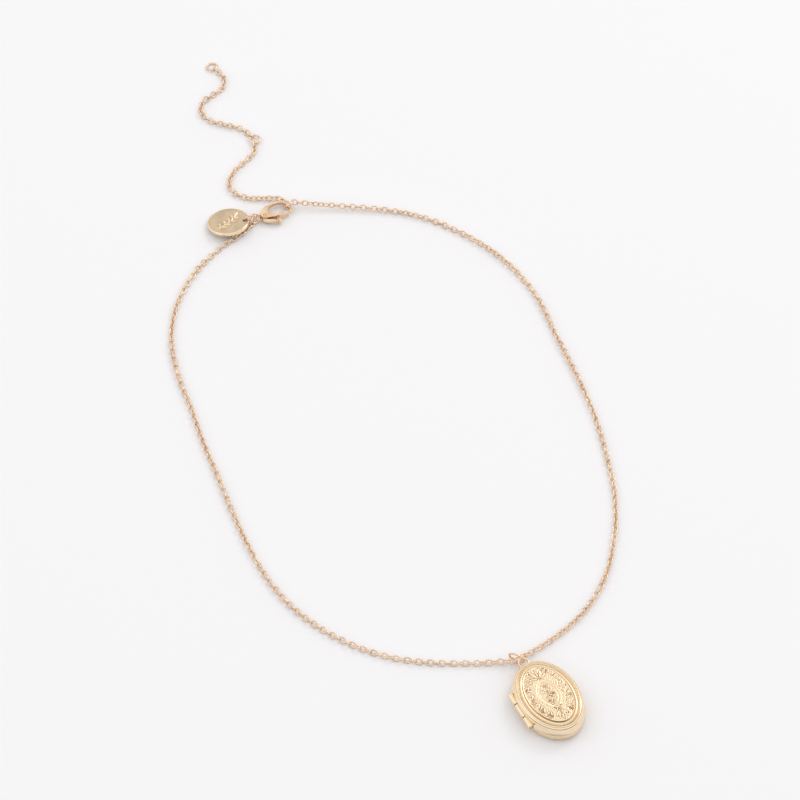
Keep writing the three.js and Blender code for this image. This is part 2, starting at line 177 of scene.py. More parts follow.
def sweep(path, radii, sides=16, closed=False, normal=(0, 0, 1), capped=True):
    """A round or oval wire along a path that lies near the plane of the normal.

    radii is one radius, or a pair (in the plane, along the normal), or one pair for each point.
    """
    path = np.asarray(path, float)
    count = len(path)
    if closed:
        tangent = unit(np.roll(path, -1, 0) - np.roll(path, 1, 0))
    else:
        tangent = unit(np.gradient(path, axis=0))
    normal = np.broadcast_to(np.asarray(normal, float), path.shape)
    side = unit(np.cross(normal, tangent))
    up = np.cross(tangent, side)
    pairs = np.broadcast_to(np.asarray(radii,
                                       float).reshape(-1, 1) if np.ndim(radii) == 1 and len(radii) == count
                            else np.asarray(radii, float), (count, 2))
    angle = np.linspace(0, TAU, sides, endpoint=False)
    points = (path[:, None] + side[:, None] * (pairs[:, :1, None] * np.cos(angle)[None, :, None])
              + up[:, None] * (pairs[:, 1:, None] * np.sin(angle)[None, :, None]))
    faces = grid_faces(count, sides, closed, True)
    points = points.reshape(-1, 3)
    if not closed and capped:
        faces.append(tuple(range(sides)))
        faces.append(tuple(range(len(points) - 1, len(points) - sides - 1, -1)))
    return points, faces


def boolean(obj, other, operation="DIFFERENCE"):
    modifier = obj.modifiers.new("cut", "BOOLEAN")
    modifier.operation = operation
    modifier.object = other
    modifier.solver = "MANIFOLD"
    apply_modifiers(obj)
    bpy.data.objects.remove(other)


def apply_modifiers(obj):
    bpy.context.view_layer.update()
    evaluated = obj.evaluated_get(bpy.context.evaluated_depsgraph_get())
    mesh = bpy.data.meshes.new_from_object(evaluated)
    obj.modifiers.clear()
    obj.data = mesh


def box_mesh(low, high):
    points = [(x, y, z) for x in (low[0], high[0]) for y in (low[1], high[1]) for z in (low[2], high[2])]
    faces = [(0, 1, 3, 2), (4, 6, 7, 5), (0, 4, 5, 1), (2, 3, 7, 6), (0, 2, 6, 4), (1, 5, 7, 3)]
    return points, faces


def prism(outline, low, high, axis="y"):
    """A straight prism over an outline: the outline is in (x, z) along y, or in (x, y) along z."""
    count = len(outline)
    order = (lambda a, b, c: (a, c, b)) if axis == "y" else (lambda a, b, c: (a, b, c))
    points = [order(a, b, level) for level in (low, high) for a, b in outline]
    faces = [tuple(range(count - 1, -1, -1)), tuple(range(count, 2 * count))]
    faces += [(i, (i + 1) % count, count + (i + 1) % count, count + i) for i in range(count)]
    if axis == "y":
        faces = [face[::-1] for face in faces]
    return points, faces


def circle(radius, centre=(0, 0), steps=48):
    return [(centre[0] + radius * math.cos(TAU * i / steps), centre[1] + radius * math.sin(TAU * i / steps))
            for i in range(steps)]


# ---- Materials ----

def principled(name, colour, roughness, metallic=1.0):
    material = bpy.data.materials.new(name)
    material.use_nodes = True
    shader = material.node_tree.nodes["Principled BSDF"]
    shader.inputs["Base Color"].default_value = (*colour, 1)
    shader.inputs["Roughness"].default_value = roughness
    shader.inputs["Metallic"].default_value = metallic
    return material, material.node_tree.nodes, material.node_tree.links, shader


def noise(nodes, links, scale, detail=3.0, stretch=(1, 1, 1)):
    coordinates = nodes.new("ShaderNodeTexCoord")
    mapping = nodes.new("ShaderNodeMapping")
    mapping.inputs["Scale"].default_value = stretch
    texture = nodes.new("ShaderNodeTexNoise")
    texture.inputs["Scale"].default_value = scale
    texture.inputs["Detail"].default_value = detail
    links.new(coordinates.outputs["Object"], mapping.inputs["Vector"])
    links.new(mapping.outputs["Vector"], texture.inputs["Vector"])
    return texture.outputs["Fac"]


def ramp(nodes, links, source, stops):
    node = nodes.new("ShaderNodeValToRGB")
    links.new(source, node.inputs["Fac"])
    elements = node.color_ramp.elements
    while len(elements) < len(stops):
        elements.new(0.5)
    for element, (place, colour) in zip(elements, stops):
        element.position = place
        element.color = (*colour, 1) if len(colour) == 3 else colour
    return node.outputs["Color"]


def grey(value):
    return (value, value, value)


def bump(nodes, links, shader, source, distance, strength=1.0):
    node = nodes.new("ShaderNodeBump")
    node.inputs["Distance"].default_value = distance * MM
    node.inputs["Strength"].default_value = strength
    links.new(source, node.inputs["Height"])
    links.new(node.outputs["Normal"], shader.inputs["Normal"])


def metal(name, light, dark, roughness, spread=0.08, grain=0.004, grain_scale=2600, stretch=(1, 1, 1)):
    """Plated metal: slow colour drift, faint handling marks in the gloss and a fine grain."""
    material, nodes, links, shader = principled(name, light, roughness)
    drift = noise(nodes, links, 420, 2)
    links.new(ramp(nodes, links, drift, [(0.35, dark), (0.65, light)]), shader.inputs["Base Color"])
    marks = noise(nodes, links, 1500, 5, (1, 5, 2))
    gloss = ramp(nodes, links, marks,
                 [(0.4, grey(max(0.02, roughness - spread / 2))), (0.72, grey(roughness + spread))])
    links.new(gloss, shader.inputs["Roughness"])
    bump(nodes, links, shader, noise(nodes, links, grain_scale, 4, stretch), grain)
    return material


def engraved_metal(name, light, dark, recess_shade, roughness):
    """Plated metal whose stamped cuts are painted darker as shade, and duller, from the mesh's own relief
    level.
    """
    material, nodes, links, shader = principled(name, light, roughness)
    relief = nodes.new("ShaderNodeAttribute")
    relief.attribute_name = "relief"
    # Painted shade: the base colour runs from the darkest shade colour at the deepest cuts to the light
    # gold on the plain surface.
    tone = ramp(nodes, links, relief.outputs["Fac"], [(0.0, recess_shade), (0.38, dark), (0.6, light)])
    links.new(tone, shader.inputs["Base Color"])
    gloss = ramp(nodes, links, relief.outputs["Fac"],
                 [(0.1, grey(roughness + 0.14)), (0.6, grey(roughness))])
    links.new(gloss, shader.inputs["Roughness"])
    bump(nodes, links, shader, noise(nodes, links, 5200, 3), 0.006)
    return material


def card_material():
    material, nodes, links, shader = principled("blank_card", (0.86, 0.82, 0.74), 0.85, 0.0)
    fibres = noise(nodes, links, 2600, 6, (1, 2.5, 1))
    links.new(ramp(nodes, links, fibres, [(0.3, (0.8, 0.75, 0.66)), (0.7, (0.9, 0.87, 0.8))]),
              shader.inputs["Base Color"])
    bump(nodes, links, shader, fibres, 0.01)
    return material


def window_material():
    material, nodes, links, shader = principled("clear_window", (0.96, 0.98, 0.98), 0.04, 0.0)
    shader.inputs["Transmission Weight"].default_value = 1.0
    shader.inputs["IOR"].default_value = 1.46
    wear = noise(nodes, links, 900, 5, (1, 6, 1))
    links.new(ramp(nodes, links, wear, [(0.5, grey(0.02)), (0.75, grey(0.12))]), shader.inputs["Roughness"])
    return material


GOLD = metal("polished_gold", (0.93, 0.755, 0.53), (0.88, 0.69, 0.46), 0.13, 0.06)
# The engraved gold's third colour is painted shade for the deepest cuts.
ENGRAVED = engraved_metal("engraved_gold", (0.94, 0.77, 0.55), (0.82, 0.62, 0.39), (0.3, 0.17, 0.07), 0.14)
ROSE_WIRE = metal("rose_gold_wire", (0.94, 0.73, 0.56), (0.84, 0.6, 0.43), 0.16, 0.08)
ROSE_CHAIN = metal("rose_gold_chain", (0.93, 0.73, 0.54), (0.8, 0.57, 0.39), 0.16, 0.1)
TAG_GOLD = metal("satin_gold_tag", (0.7, 0.55, 0.38), (0.6, 0.46, 0.31), 0.36, 0.1, 0.012, 3800, (1, 1, 1))
TAG_EDGE = metal("tag_edge_gold", (0.93, 0.75, 0.53), (0.87, 0.68, 0.45), 0.14, 0.06)
CLASP_GOLD = metal("clasp_gold", (0.92, 0.69, 0.47), (0.78, 0.54, 0.35), 0.12, 0.07)
STEEL = metal("spring_steel", (0.66, 0.64, 0.6), (0.55, 0.53, 0.5), 0.25, 0.1)
CARD = card_material()
WINDOW = window_material()


# ---- Camera ----

def make_camera():
    camera = bpy.data.objects.new("camera", bpy.data.cameras.new("camera"))
    bpy.context.scene.collection.objects.link(camera)
    elevation = math.radians(VIEW_ELEVATION)
    heading = unit(VIEW_HEADING)
    forward = Vector((heading[0] * math.cos(elevation), heading[1] * math.cos(elevation),
                      -math.sin(elevation)))
    camera.location = (Vector(TARGET) - forward * VIEW_DISTANCE) * MM
    camera.rotation_mode = "QUATERNION"
    camera.rotation_quaternion = forward.to_track_quat("-Z", "Y")
    camera.data.lens = LENS
    camera.data.sensor_width = 36
    camera.data.clip_start = 0.05
    camera.data.clip_end = 20
    bpy.context.scene.camera = camera


make_camera()


# ---- Rings ----

RING_WIRE_R = 0.28
TAG_RING_WIRE_R = 0.24
PENDANT_WIRE_R = 0.3
FLAT_RING_LIFT = 0.46
FLAT_RING_ROLL = 52


def ring_of(node):
    """(centre, normal, radius) in millimetres of a ring-shaped CAD node."""
    points = np.array([v.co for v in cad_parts[node].data.vertices], float) / MM
    points = np.unique(points.round(4), axis=0)
    centre = points.mean(0)
    normal = np.linalg.svd(points - centre, full_matrices=False)[2][2]
    off = points - centre
    flat = off - np.outer(off @ normal, normal)
    return centre, normal, float(np.linalg.norm(flat, axis=1).mean())


def lift_of(node, points):
    """How far a flat ring's wire is held off the surface, by the links that pass under it."""
    points = np.atleast_2d(points)
    if node == "extender_mid_ring":
        return np.full(len(points), FLAT_RING_LIFT)
    if node == "extender_end_ring":
        centre, _, radius = ring_of(node)
        towards_chain = unit(np.asarray(EXTENDER_ROUTE_OUTER[-2], float)[:2] - centre[:2])
        return FLAT_RING_LIFT * ((points[:, :2] - centre[:2]) @ towards_chain / radius + 1) / 2
    return np.zeros(len(points))


def nearest_on_ring(node, point):
    centre, normal, radius = ring_of(node)
    off = np.asarray(point, float) - centre
    off -= (off @ normal) * normal
    wire_point = centre + radius * unit(off)
    return wire_point + (0, 0, lift_of(node, wire_point)[0])


def jump_ring(node, body, wire_r, split_towards):
    """A round wire ring with its closed butt joint showing as a hairline at the side given."""
    centre, normal, radius = ring_of(node)
    across = np.asarray(split_towards, float) - centre
    across = unit(across - (across @ normal) * normal)
    along = np.cross(normal, across)
    gap = 0.02 / radius
    angle = np.linspace(gap, TAU - gap, 73)
    radii = np.full((len(angle), 2), wire_r)
    radii[[0, -1]] *= 0.86
    angle_step = 0.04 / radius
    angle[1], angle[-2] = angle[0] + angle_step, angle[-1] - angle_step
    path = centre + radius * (np.outer(np.cos(angle), across) + np.outer(np.sin(angle), along))
    path[:, 2] += lift_of(node, path)
    points, faces = sweep(path, radii, 20, normal=normal)
    piece = make_object(node + "_wire", points, faces, ROSE_WIRE)
    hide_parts(node)
    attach(piece, body)
    return piece


rings = {
    "pendant_ring": jump_ring("pendant_ring", "pendant_ring_body", PENDANT_WIRE_R, (-3, 17, 4)),
    "clasp_ring": jump_ring("clasp_ring", "root", RING_WIRE_R, (5.6, 186.5, 3)),
    "junction_ring": jump_ring("junction_ring", "root", RING_WIRE_R, (18.5, 186, 3)),
    "tag_ring": jump_ring("tag_ring", "tag_ring_body", TAG_RING_WIRE_R, (3.8, 185.4, 4)),
    "extender_mid_ring": jump_ring("extender_mid_ring", "root", RING_WIRE_R, (21.5, 214.5, 0.3)),
    "extender_end_ring": jump_ring("extender_end_ring", "end_ring_body", RING_WIRE_R, (22.8, 247.4, 0.3)),
}


# ---- Chains ----

def link_template(scale=1.0, around=26, sides=10):
    """One oval link about the origin: its length along X, its width along Y."""
    angle = np.linspace(0, TAU, around, endpoint=False)
    power = 2 / 2.35
    x = LINK_HALF_LENGTH * np.sign(np.cos(angle)) * np.abs(np.cos(angle)) ** power
    y = LINK_HALF_WIDTH * scale * np.sign(np.sin(angle)) * np.abs(np.sin(angle)) ** power
    path = np.stack([x, y, np.zeros(around)], axis=1)
    return sweep(path, (WIRE_R, WIRE_R), sides, closed=True)


def roll_along(s, total, start_roll, end_roll, seed):
    """How far the chain has rolled about its own line: wandering, and set by the rings at its ends."""
    generator = np.random.default_rng(seed)
    knots = np.arange(-10, total + 25, 17.0)
    wander = np.interp(s, knots, 45 + generator.uniform(-52, 52, len(knots)))
    settle = 9.0
    near_start = np.exp(-((s / settle) ** 2))
    near_end = np.exp(-(((total - s) / settle) ** 2))
    free = 1 - near_start - near_end
    return near_start * start_roll + near_end * end_roll + free * wander


def roll_square_to_ring(line_end, line_inner, node):
    """The roll, in degrees, of a link that the ring's wire passes squarely through."""
    centre, normal, _ = ring_of(node)
    if abs(normal[2]) > 0.9:
        return FLAT_RING_ROLL
    wire_point = nearest_on_ring(node, line_end)
    wire = unit(np.cross(normal, wire_point - centre))
    tangent = unit(np.asarray(line_end, float) - line_inner)
    width = np.cross(wire, tangent)
    side = unit(np.cross((0, 0, 1), tangent))
    up = np.cross(tangent, side)
    return math.degrees(math.atan2(width @ up, width @ side)) % 180


def hooked_route(route, start_node, end_node):
    """The route with its two ends brought to where the last links hold the rings' wires."""
    reach = LINK_HALF_LENGTH - WIRE_R - RING_WIRE_R
    ends = []
    for node, outer, inner in ((start_node, route[0], route[1]), (end_node, route[-1], route[-2])):
        wire_point = nearest_on_ring(node, outer)
        ends.append(wire_point + unit(np.asarray(inner, float) - wire_point) * reach)
    return [tuple(ends[0]), *route[1:-1], tuple(ends[1])]


def chain(name, route, start_node, end_node, seed, length_note):
    line = smooth_line(hooked_route(route, start_node, end_node))
    along = lengths_along(line)
    count = 2 * round(along[-1] / LINK_PITCH / 2) + 1
    s = np.linspace(0, along[-1], count)
    centres = at_length(line, along, s)
    tangents = unit(at_length(line, along, s + 0.2) - at_length(line, along, s - 0.2))
    start_roll = roll_square_to_ring(line[0], line[4], start_node)
    end_roll = roll_square_to_ring(line[-1], line[-5], end_node)
    rolls = np.radians(roll_along(s, along[-1], start_roll, end_roll, seed))
    jitter = np.random.default_rng(seed + 1)
    template, faces = link_template()
    lift = WIRE_R + LINK_HALF_WIDTH * np.maximum(np.abs(np.sin(rolls)),
                                                 np.abs(np.cos(rolls))) - CHAIN_BASE_Z
    settle = np.clip(np.minimum(s, along[-1] - s) / 4, 0, 1)
    raised = np.clip((centres[:, 2] - CHAIN_BASE_Z) / 0.2, 0, 1)
    centres[:, 2] += lift * settle * (1 - raised)
    parts = []
    for i, (centre, tangent) in enumerate(zip(centres, tangents)):
        roll = rolls[i] + (math.pi / 2 if i % 2 else 0) + math.radians(jitter.uniform(-7, 7))
        side = unit(np.cross((0, 0, 1), tangent))
        up = np.cross(tangent, side)
        width = math.cos(roll) * side + math.sin(roll) * up
        thickness = np.cross(tangent, width)
        parts.append((centre + template @ np.stack([tangent, width, thickness]), faces))
    points, faces = merge(parts)
    piece = make_object(name + "_links", points, faces, ROSE_CHAIN)
    piece["real_length"] = length_note
    return piece, centres


def declare_chain(piece, node):
    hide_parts(node)
    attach(piece, "root")


# ---- Locket shells ----

def oval_outline(theta, inset):
    """The locket's outline moved inwards by a distance."""
    x, y = HALF_WIDTH * np.cos(theta), HALF_LENGTH * np.sin(theta)
    normal = unit(np.stack([np.cos(theta) / HALF_WIDTH, np.sin(theta) / HALF_LENGTH], axis=-1))
    return np.stack([x, y], axis=-1) - inset * normal


def oval_row(theta, place, z):
    """A row of points: place is an inset up to CORE_INSET, or -share for a share of the core outline."""
    flat = oval_outline(theta, place) if place >= 0 else -place * oval_outline(theta, CORE_INSET)
    return np.column_stack([flat, np.full(len(theta), z)])


def oval_solid(profile, steps=PLAIN_OVAL_STEPS):
    """A solid turned round the oval from a profile of (inset, z). An inset of None is the middle."""
    theta = np.linspace(0, TAU, steps, endpoint=False)
    rows = [oval_row(theta, place, z) for place, z in profile if place is not None]
    points = np.concatenate(rows)
    middles = [i for i, (place, _) in enumerate(profile) if place is None]
    if not middles:
        return points, grid_faces(len(rows), steps, True, True)
    faces = grid_faces(len(rows), steps, False, True)
    points = np.concatenate([points, [(0, 0, profile[0][1]), (0, 0, profile[-1][1])]])
    first, last = len(points) - 2, len(points) - 1
    last_row = (len(rows) - 1) * steps
    faces += [(first, (i + 1) % steps, i) for i in range(steps)]
    faces += [(last, last_row + i, last_row + (i + 1) % steps) for i in range(steps)]
    return points, faces


def arc_profile(points, per_span=4):
    """A profile smoothed through its points."""
    line = smooth_line([(a, 0, b) for a, b in points], per_span)
    return [(max(0.0, float(a)), float(b)) for a, _, b in line]


HINGE_X = float((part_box("hinge_pin")[0].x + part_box("hinge_pin")[1].x) / 2 / MM)
HINGE_END = float(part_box("hinge_pin")[1].y / MM)
BARREL_R = 0.8
BARREL_CLEARANCE = 0.1
RELIEF_SLOPE = 78
RELIEF_HALF_LENGTH = 5.8


def hinge_cutter(side):
    """The room that a shell leaves for the barrel, and for the other shell as it opens."""
    reach, slope = 3.0, math.radians(RELIEF_SLOPE)
    wedge = [(0, 0), (-reach, 0), (-reach, side * reach),
             (-reach * math.cos(slope), side * reach * math.sin(slope))]
    outline = [(HINGE_X + a, PARTING_Z + b) for a, b in wedge]
    if side > 0:
        outline = outline[::-1]
    end = HINGE_END + BARREL_CLEARANCE
    wedge_object = make_object("wedge", *prism(outline, -RELIEF_HALF_LENGTH, RELIEF_HALF_LENGTH), GOLD)
    round_outline = [(HINGE_X + a, PARTING_Z + b) for a, b in circle(BARREL_R + BARREL_CLEARANCE)][::-1]
    barrel_object = make_object("barrel", *prism(round_outline, -end, end), GOLD)
    boolean(wedge_object, barrel_object, "UNION")
    return wedge_object


def locket_piece(name, node, mesh_parts, material, body, sharp_angle=35):
    piece = make_object(name, *mesh_parts, material, sharp_angle)
    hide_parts(node)
    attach(piece, body)
    return piece


def cut_shell(piece, side, sharp_angle):
    boolean(piece, hinge_cutter(side))
    piece.data.set_sharp_from_angle(angle=math.radians(sharp_angle))


def back_shell():
    outside = [(2.0, 0.0), (1.6, 0.02),
               *arc_profile([(1.25, 0.1), (0.65, 0.42), (0.22, 0.95), (0.0, 1.65)]),
               (0.0, 2.3), (0.0, PARTING_Z - PARTING_GAP), (0.03, PARTING_Z - PARTING_GAP / 2)]
    inside = [(0.42, PARTING_Z - PARTING_GAP / 2), (0.45, 2.5), (0.45, 1.7), (0.65, 1.2), (1.0, 0.75),
              (1.6, 0.45)]
    profile = [(None, 0.0), (-0.5, 0.0), *outside, *inside, (-0.5, 0.45), (None, 0.45)]
    piece = locket_piece("back_shell_fine", "back_shell", oval_solid(profile, 240), GOLD,
                         "root")
    cut_shell(piece, -1, 35)
    return piece


# ---- Engraving ----

class Relief:
    """Heights over an engraved field, in millimetres, built up cut by cut."""

    def __init__(self, xy):
        self.xy = xy
        self.height = np.zeros(len(xy))
        self.cover = np.zeros(len(xy))

    def near(self, low, high, margin):
        x, y = self.xy.T
        return np.flatnonzero((x > low[0] - margin) & (x < high[0] + margin)
                              & (y > low[1] - margin) & (y < high[1] + margin))

    def stroke(self, path, width, height, taper=0.35):
        """A rounded ridge, or a cut if the height is negative, that thins towards its path's ends."""
        path = np.asarray(path, float)
        index = self.near(path.min(0), path.max(0), width)
        if not len(index):
            return
        a, b = path[:-1], path[1:]
        p = self.xy[index][:, None]
        d = b - a
        t = np.clip(((p - a) * d).sum(-1) / np.maximum((d * d).sum(-1), 1e-9), 0, 1)
        distance = np.linalg.norm(p - a - t[..., None] * d, axis=-1)
        nearest = distance.argmin(1)
        share = (nearest + t[np.arange(len(index)), nearest]) / len(a)
        local = 1.3 * width * (1 - taper + taper * np.sin(np.pi * np.clip(share, 0.02, 0.98)))
        form = np.clip(1.25 - 1.25 * distance.min(1) / local, 0, 1)
        self.height[index] += form * height
        self.cover[index] = np.maximum(self.cover[index], (distance.min(1) < local * 1.3).astype(float))

    def leaf(self, base, heading, length, width, height=0.08, bend=0.0, veins=5):
        """A raised pointed leaf with a cut outline, a cut midrib and cut side veins."""
        angle = math.radians(heading)
        along = np.array([math.cos(angle), math.sin(angle)])
        across = np.array([-along[1], along[0]])
        tip = np.asarray(base) + along * length
        index = self.near(np.minimum(base, tip), np.maximum(base, tip), width + abs(bend) * length)
        off = self.xy[index] - base
        u = off @ along / length
        v = off @ across - bend * length * u * u
        inside = np.clip(u, 0, 1)
        half = np.maximum(width * 0.5 * np.sin(np.pi * inside ** 0.72) ** 0.8, 1e-3)
        q = np.abs(v) / half
        within = (u > 0) & (u < 1)
        pillow = np.where(within, np.clip(1 - q ** 3, 0, 1), 0)
        edge = np.where(within, np.clip(1 - np.abs(np.abs(v) - half) / 0.16, 0, 1), 0)
        rib = np.where(within & (u < 0.85), np.clip(1 - np.abs(v) / 0.12, 0, 1), 0)
        phase = u * veins - np.abs(v) / max(width, 0.1) * 1.2
        side_veins = np.where(within & (q < 0.85), np.clip(np.cos(TAU * phase), 0, 1) ** 2, 0)
        self.height[index] = np.where(pillow > 0, np.maximum(self.height[index], 0) * 0.3,
                                      self.height[index])
        self.height[index] += 1.3 * height * pillow - 0.13 * edge - 0.1 * rib - 0.05 * side_veins
        self.cover[index] = np.maximum(self.cover[index], ((pillow > 0) | (edge > 0.1)).astype(float))

    def dome(self, centre, radius, height):
        index = self.near(centre, centre, radius * 1.4)
        distance = np.linalg.norm(self.xy[index] - centre, axis=1)
        form = np.sqrt(np.clip(1 - (distance / radius) ** 2, 0, 1))
        moat = np.clip(1 - np.abs(distance - radius) / 0.16, 0, 1)
        self.height[index] = np.where(form > 0, 0, self.height[index]) + form * height * 1.3 - 0.16 * moat
        self.cover[index] = np.maximum(self.cover[index], (distance < radius + 0.1).astype(float))

    def dot(self, centre, radius, depth):
        index = self.near(centre, centre, radius)
        distance = np.linalg.norm(self.xy[index] - centre, axis=1)
        self.height[index] -= depth * np.clip(1 - distance / radius, 0, 1)

    def flower(self, centre, radius, petals=5, turn=0.0):
        for i in range(petals):
            self.leaf(centre, turn + 360 * i / petals, radius, radius * 0.75, 0.08, 0, 3)
        self.dome(centre, radius * 0.26, 0.12)

    def scroll(self, centre, radius, turns, start, direction):
        """A spiral stem, cut on both its edges, that curls in to a bud."""
        t = np.linspace(0, 1, 44)
        angle = math.radians(start) + direction * t * turns * TAU
        for offset in (0.14, -0.14):
            reach = np.maximum(radius * (1 - t) ** 0.8 + 0.1 + offset, 0.06)
            path = np.stack([centre[0] + reach * np.cos(angle), centre[1] + reach * np.sin(angle)], axis=1)
            self.stroke(path, 0.11, -0.1, 0.2)
        self.dome(centre, 0.2, 0.1)


def pointed_oval(half_width, half_length, side, count=30):
    """One side of the medallion's outline, from its lower point to its upper one."""
    y = np.linspace(-half_length, half_length, count)
    x = side * half_width * (1 - (y / half_length) ** 2) ** 0.85
    return np.stack([MEDALLION[0] + x, MEDALLION[1] + y], axis=1)


MEDALLION = (0.1, -0.15)
MEDALLION_OUTER = (2.65, 4.75)
MEDALLION_INNER = (1.9, 3.85)


def medallion(relief):
    """The pointed oval in the middle: fine lines, a hatched band between them and a flower spray inside."""
    for side in (-1, 1):
        relief.stroke(pointed_oval(*MEDALLION_OUTER, side), 0.1, -0.07, 0)
        relief.stroke(pointed_oval(MEDALLION_OUTER[0] - 0.24, MEDALLION_OUTER[1] - 0.36, side), 0.09, 0.04,
                      0)
        relief.stroke(pointed_oval(*MEDALLION_INNER, side), 0.1, -0.07, 0)
    middle = ((MEDALLION_OUTER[0] + MEDALLION_INNER[0]) / 2 - 0.1,
              (MEDALLION_OUTER[1] + MEDALLION_INNER[1]) / 2 - 0.12)
    for side in (-1, 1):
        line = pointed_oval(*middle, side, 120)
        along = lengths_along(np.column_stack([line, np.zeros(len(line))]))
        for s in np.arange(0.35, along[-1] - 0.3, 0.36):
            x, y = np.interp(s, along, line[:, 0]), np.interp(s, along, line[:, 1])
            out = unit((x - MEDALLION[0] + side * 0.8, (y - MEDALLION[1]) * 0.4))
            relief.stroke([(x - out[0] * 0.22, y - out[1] * 0.22), (x + out[0] * 0.2, y + out[1] * 0.2)],
                          0.09, -0.06, 0)
    at = lambda u, v: (MEDALLION[0] + u, MEDALLION[1] + v)
    relief.stroke([at(-0.3, -3.2), at(-0.05, -2.3), at(0.3, -1.1), at(0.05, 0.1), at(-0.2, 1.2),
                   at(0.2, 2.4)], 0.1, -0.1)
    for u, v, heading, length in ((0.1, -2.2, 32, 1.2), (0.0, -2.3, 152, 1.15), (0.25, -1.0, 18, 1.3),
                                  (0.1, -0.9, 165, 1.4), (0.0, 0.9, 38, 1.2), (-0.1, 1.0, 148, 1.2),
                                  (0.0, 1.9, 60, 1.0), (-0.2, -3.1, 60, 0.8), (-0.35, -3.1, 125, 0.8)):
        relief.leaf(at(u, v), heading, length, 0.52, 0.07, 0.08, 3)
    for u, v, radius in ((0.15, 2.5, 0.7), (0.05, 0.1, 0.85), (-0.85, -1.8, 0.5), (0.95, -0.15, 0.45)):
        relief.flower(at(u, v), radius, 5, 18 * u)
    for u, v in ((-1.1, 0.7), (1.2, 0.9), (1.1, -1.7), (-1.3, -0.4), (0.6, -3.0), (-0.6, 3.0), (0.7, 1.5)):
        relief.dot(at(u, v), 0.17, 0.12)
    for u, v, heading in ((-0.55, -4.45, 60), (0.5, -4.5, 120), (0.05, -4.75, 90), (-0.7, -4.0, 20),
                          (0.85, -4.0, 160)):
        tick(relief, at(u, v), heading, 0.3, 0.14, -0.16)


def tick(relief, centre, heading, half_length, width, height):
    """A short deep cut."""
    step = (half_length * math.cos(math.radians(heading)), half_length * math.sin(math.radians(heading)))
    relief.stroke([(centre[0] - step[0], centre[1] - step[1]), (centre[0] + step[0], centre[1] + step[1])],
                  width, height, 0.5)


def bail_end_leaves(relief):
    """A V of long pointed leaves at the bail end, with a bud between them."""
    relief.leaf((-0.1, 5.0), 118, 3.3, 0.9, 0.1, -0.06, 9)
    relief.leaf((0.3, 5.0), 62, 3.1, 0.95, 0.1, 0.05, 9)
    relief.leaf((0.5, 4.8), 32, 2.1, 0.65, 0.08, 0.1)
    relief.leaf((-0.4, 4.8), 146, 1.9, 0.6, 0.08, -0.1)
    relief.leaf((0.1, 5.4), 90, 2.6, 0.5, 0.08)
    relief.dome((0.1, 5.15), 0.3, 0.12)


def foot_fan(relief):
    """A fan of leaves spreading from under the medallion to the foot."""
    for heading in (-90, -67, -113, -45, -135):
        relief.leaf((0.1, -5.3), heading, 3.0 - abs(heading + 90) * 0.016, 0.8, 0.09)
    relief.dome((0.1, -5.35), 0.32, 0.12)
    for side in (-1, 1):
        relief.scroll((0.1 + side * 2.6, -6.0), 0.65, 1.1, 90 - side * 20, -side)


def full_side(relief):
    """Large scrolling leaves and a flower on the hinge side."""
    relief.flower((-2.75, 5.35), 1.25, 6, 10)
    relief.scroll((-4.05, 3.1), 0.85, 1.3, 200, -1)
    relief.scroll((-4.2, -0.4), 0.85, 1.3, 160, 1)
    relief.scroll((-3.75, -3.9), 0.75, 1.2, 200, -1)
    for x, y, heading, length in (
            (-3.3, 4.1, 200, 1.7), (-3.2, 4.0, 235, 1.5), (-4.6, 4.2, 80, 1.2), (-3.1, 2.4, 150, 1.5),
            (-3.3, 1.5, 190, 1.7), (-3.3, 1.3, 225, 1.6), (-4.7, 1.6, 100, 1.2), (-3.3, -1.3, 200, 1.7),
            (-3.2, -1.5, 235, 1.7), (-4.8, -1.6, 110, 1.1), (-2.9, -2.7, 205, 1.4), (-2.7, -3.2, 240, 1.7),
            (-2.1, -4.6, 215, 1.7), (-1.9, -4.9, 250, 1.6), (-4.3, -4.7, 300, 1.3), (-1.4, 6.5, 150, 1.5),
            (-3.4, 6.2, 205, 1.2), (-2.0, 7.0, 60, 1.1)):
        relief.leaf((x, y), heading, length, 0.62, 0.09, 0.12)


def light_side(relief):
    """Thin sprigs, short cuts and dots on the side away from the hinge."""
    for x, y, heading, length in (
            (2.3, 5.6, 70, 1.2), (2.6, 5.3, 20, 1.3), (3.3, 3.4, 75, 1.3), (3.6, 3.2, 25, 1.2),
                                  (3.4, 0.6, 80, 1.4),
            (3.6, 0.2, 10, 1.3), (3.5, -2.0, 350, 1.3), (3.2, -2.3, 300, 1.5), (2.5, -4.3, 330, 1.5),
            (2.2, -4.7, 285, 1.3), (4.3, -3.3, 65, 1.1), (1.6, 6.9, 40, 1.1)):
        relief.leaf((x, y), heading, length, 0.42, 0.07, 0.1)
    for x, y, heading in ((3.1, 4.6, 120), (4.2, 1.9, 60), (4.5, -0.9, 30), (3.3, -0.7, 110),
                          (3.9, -1.3, 45), (2.9, 2.2, 70),
                          (4.1, -4.3, 40), (3.4, -5.6, 130), (1.6, -6.9, 70), (3.9, 4.7, 20),
                          (2.2, 7.4, 140),
                          (4.75, 0.9, 85), (2.8, -3.5, 60), (1.2, 8.0, 10)):
        tick(relief, (x, y), heading, 0.34, 0.14, -0.14)
    for centre in ((3.9, 2.6), (4.4, -2.3), (3.0, -6.3), (2.5, 6.5)):
        for k in range(6):
            turn = TAU * k / 6
            relief.dot((centre[0] + 0.42 * math.cos(turn), centre[1] + 0.42 * math.sin(turn)), 0.14, 0.12)
        relief.dome(centre, 0.18, 0.1)


FIELD_STRETCH = (1.11, 1.06)


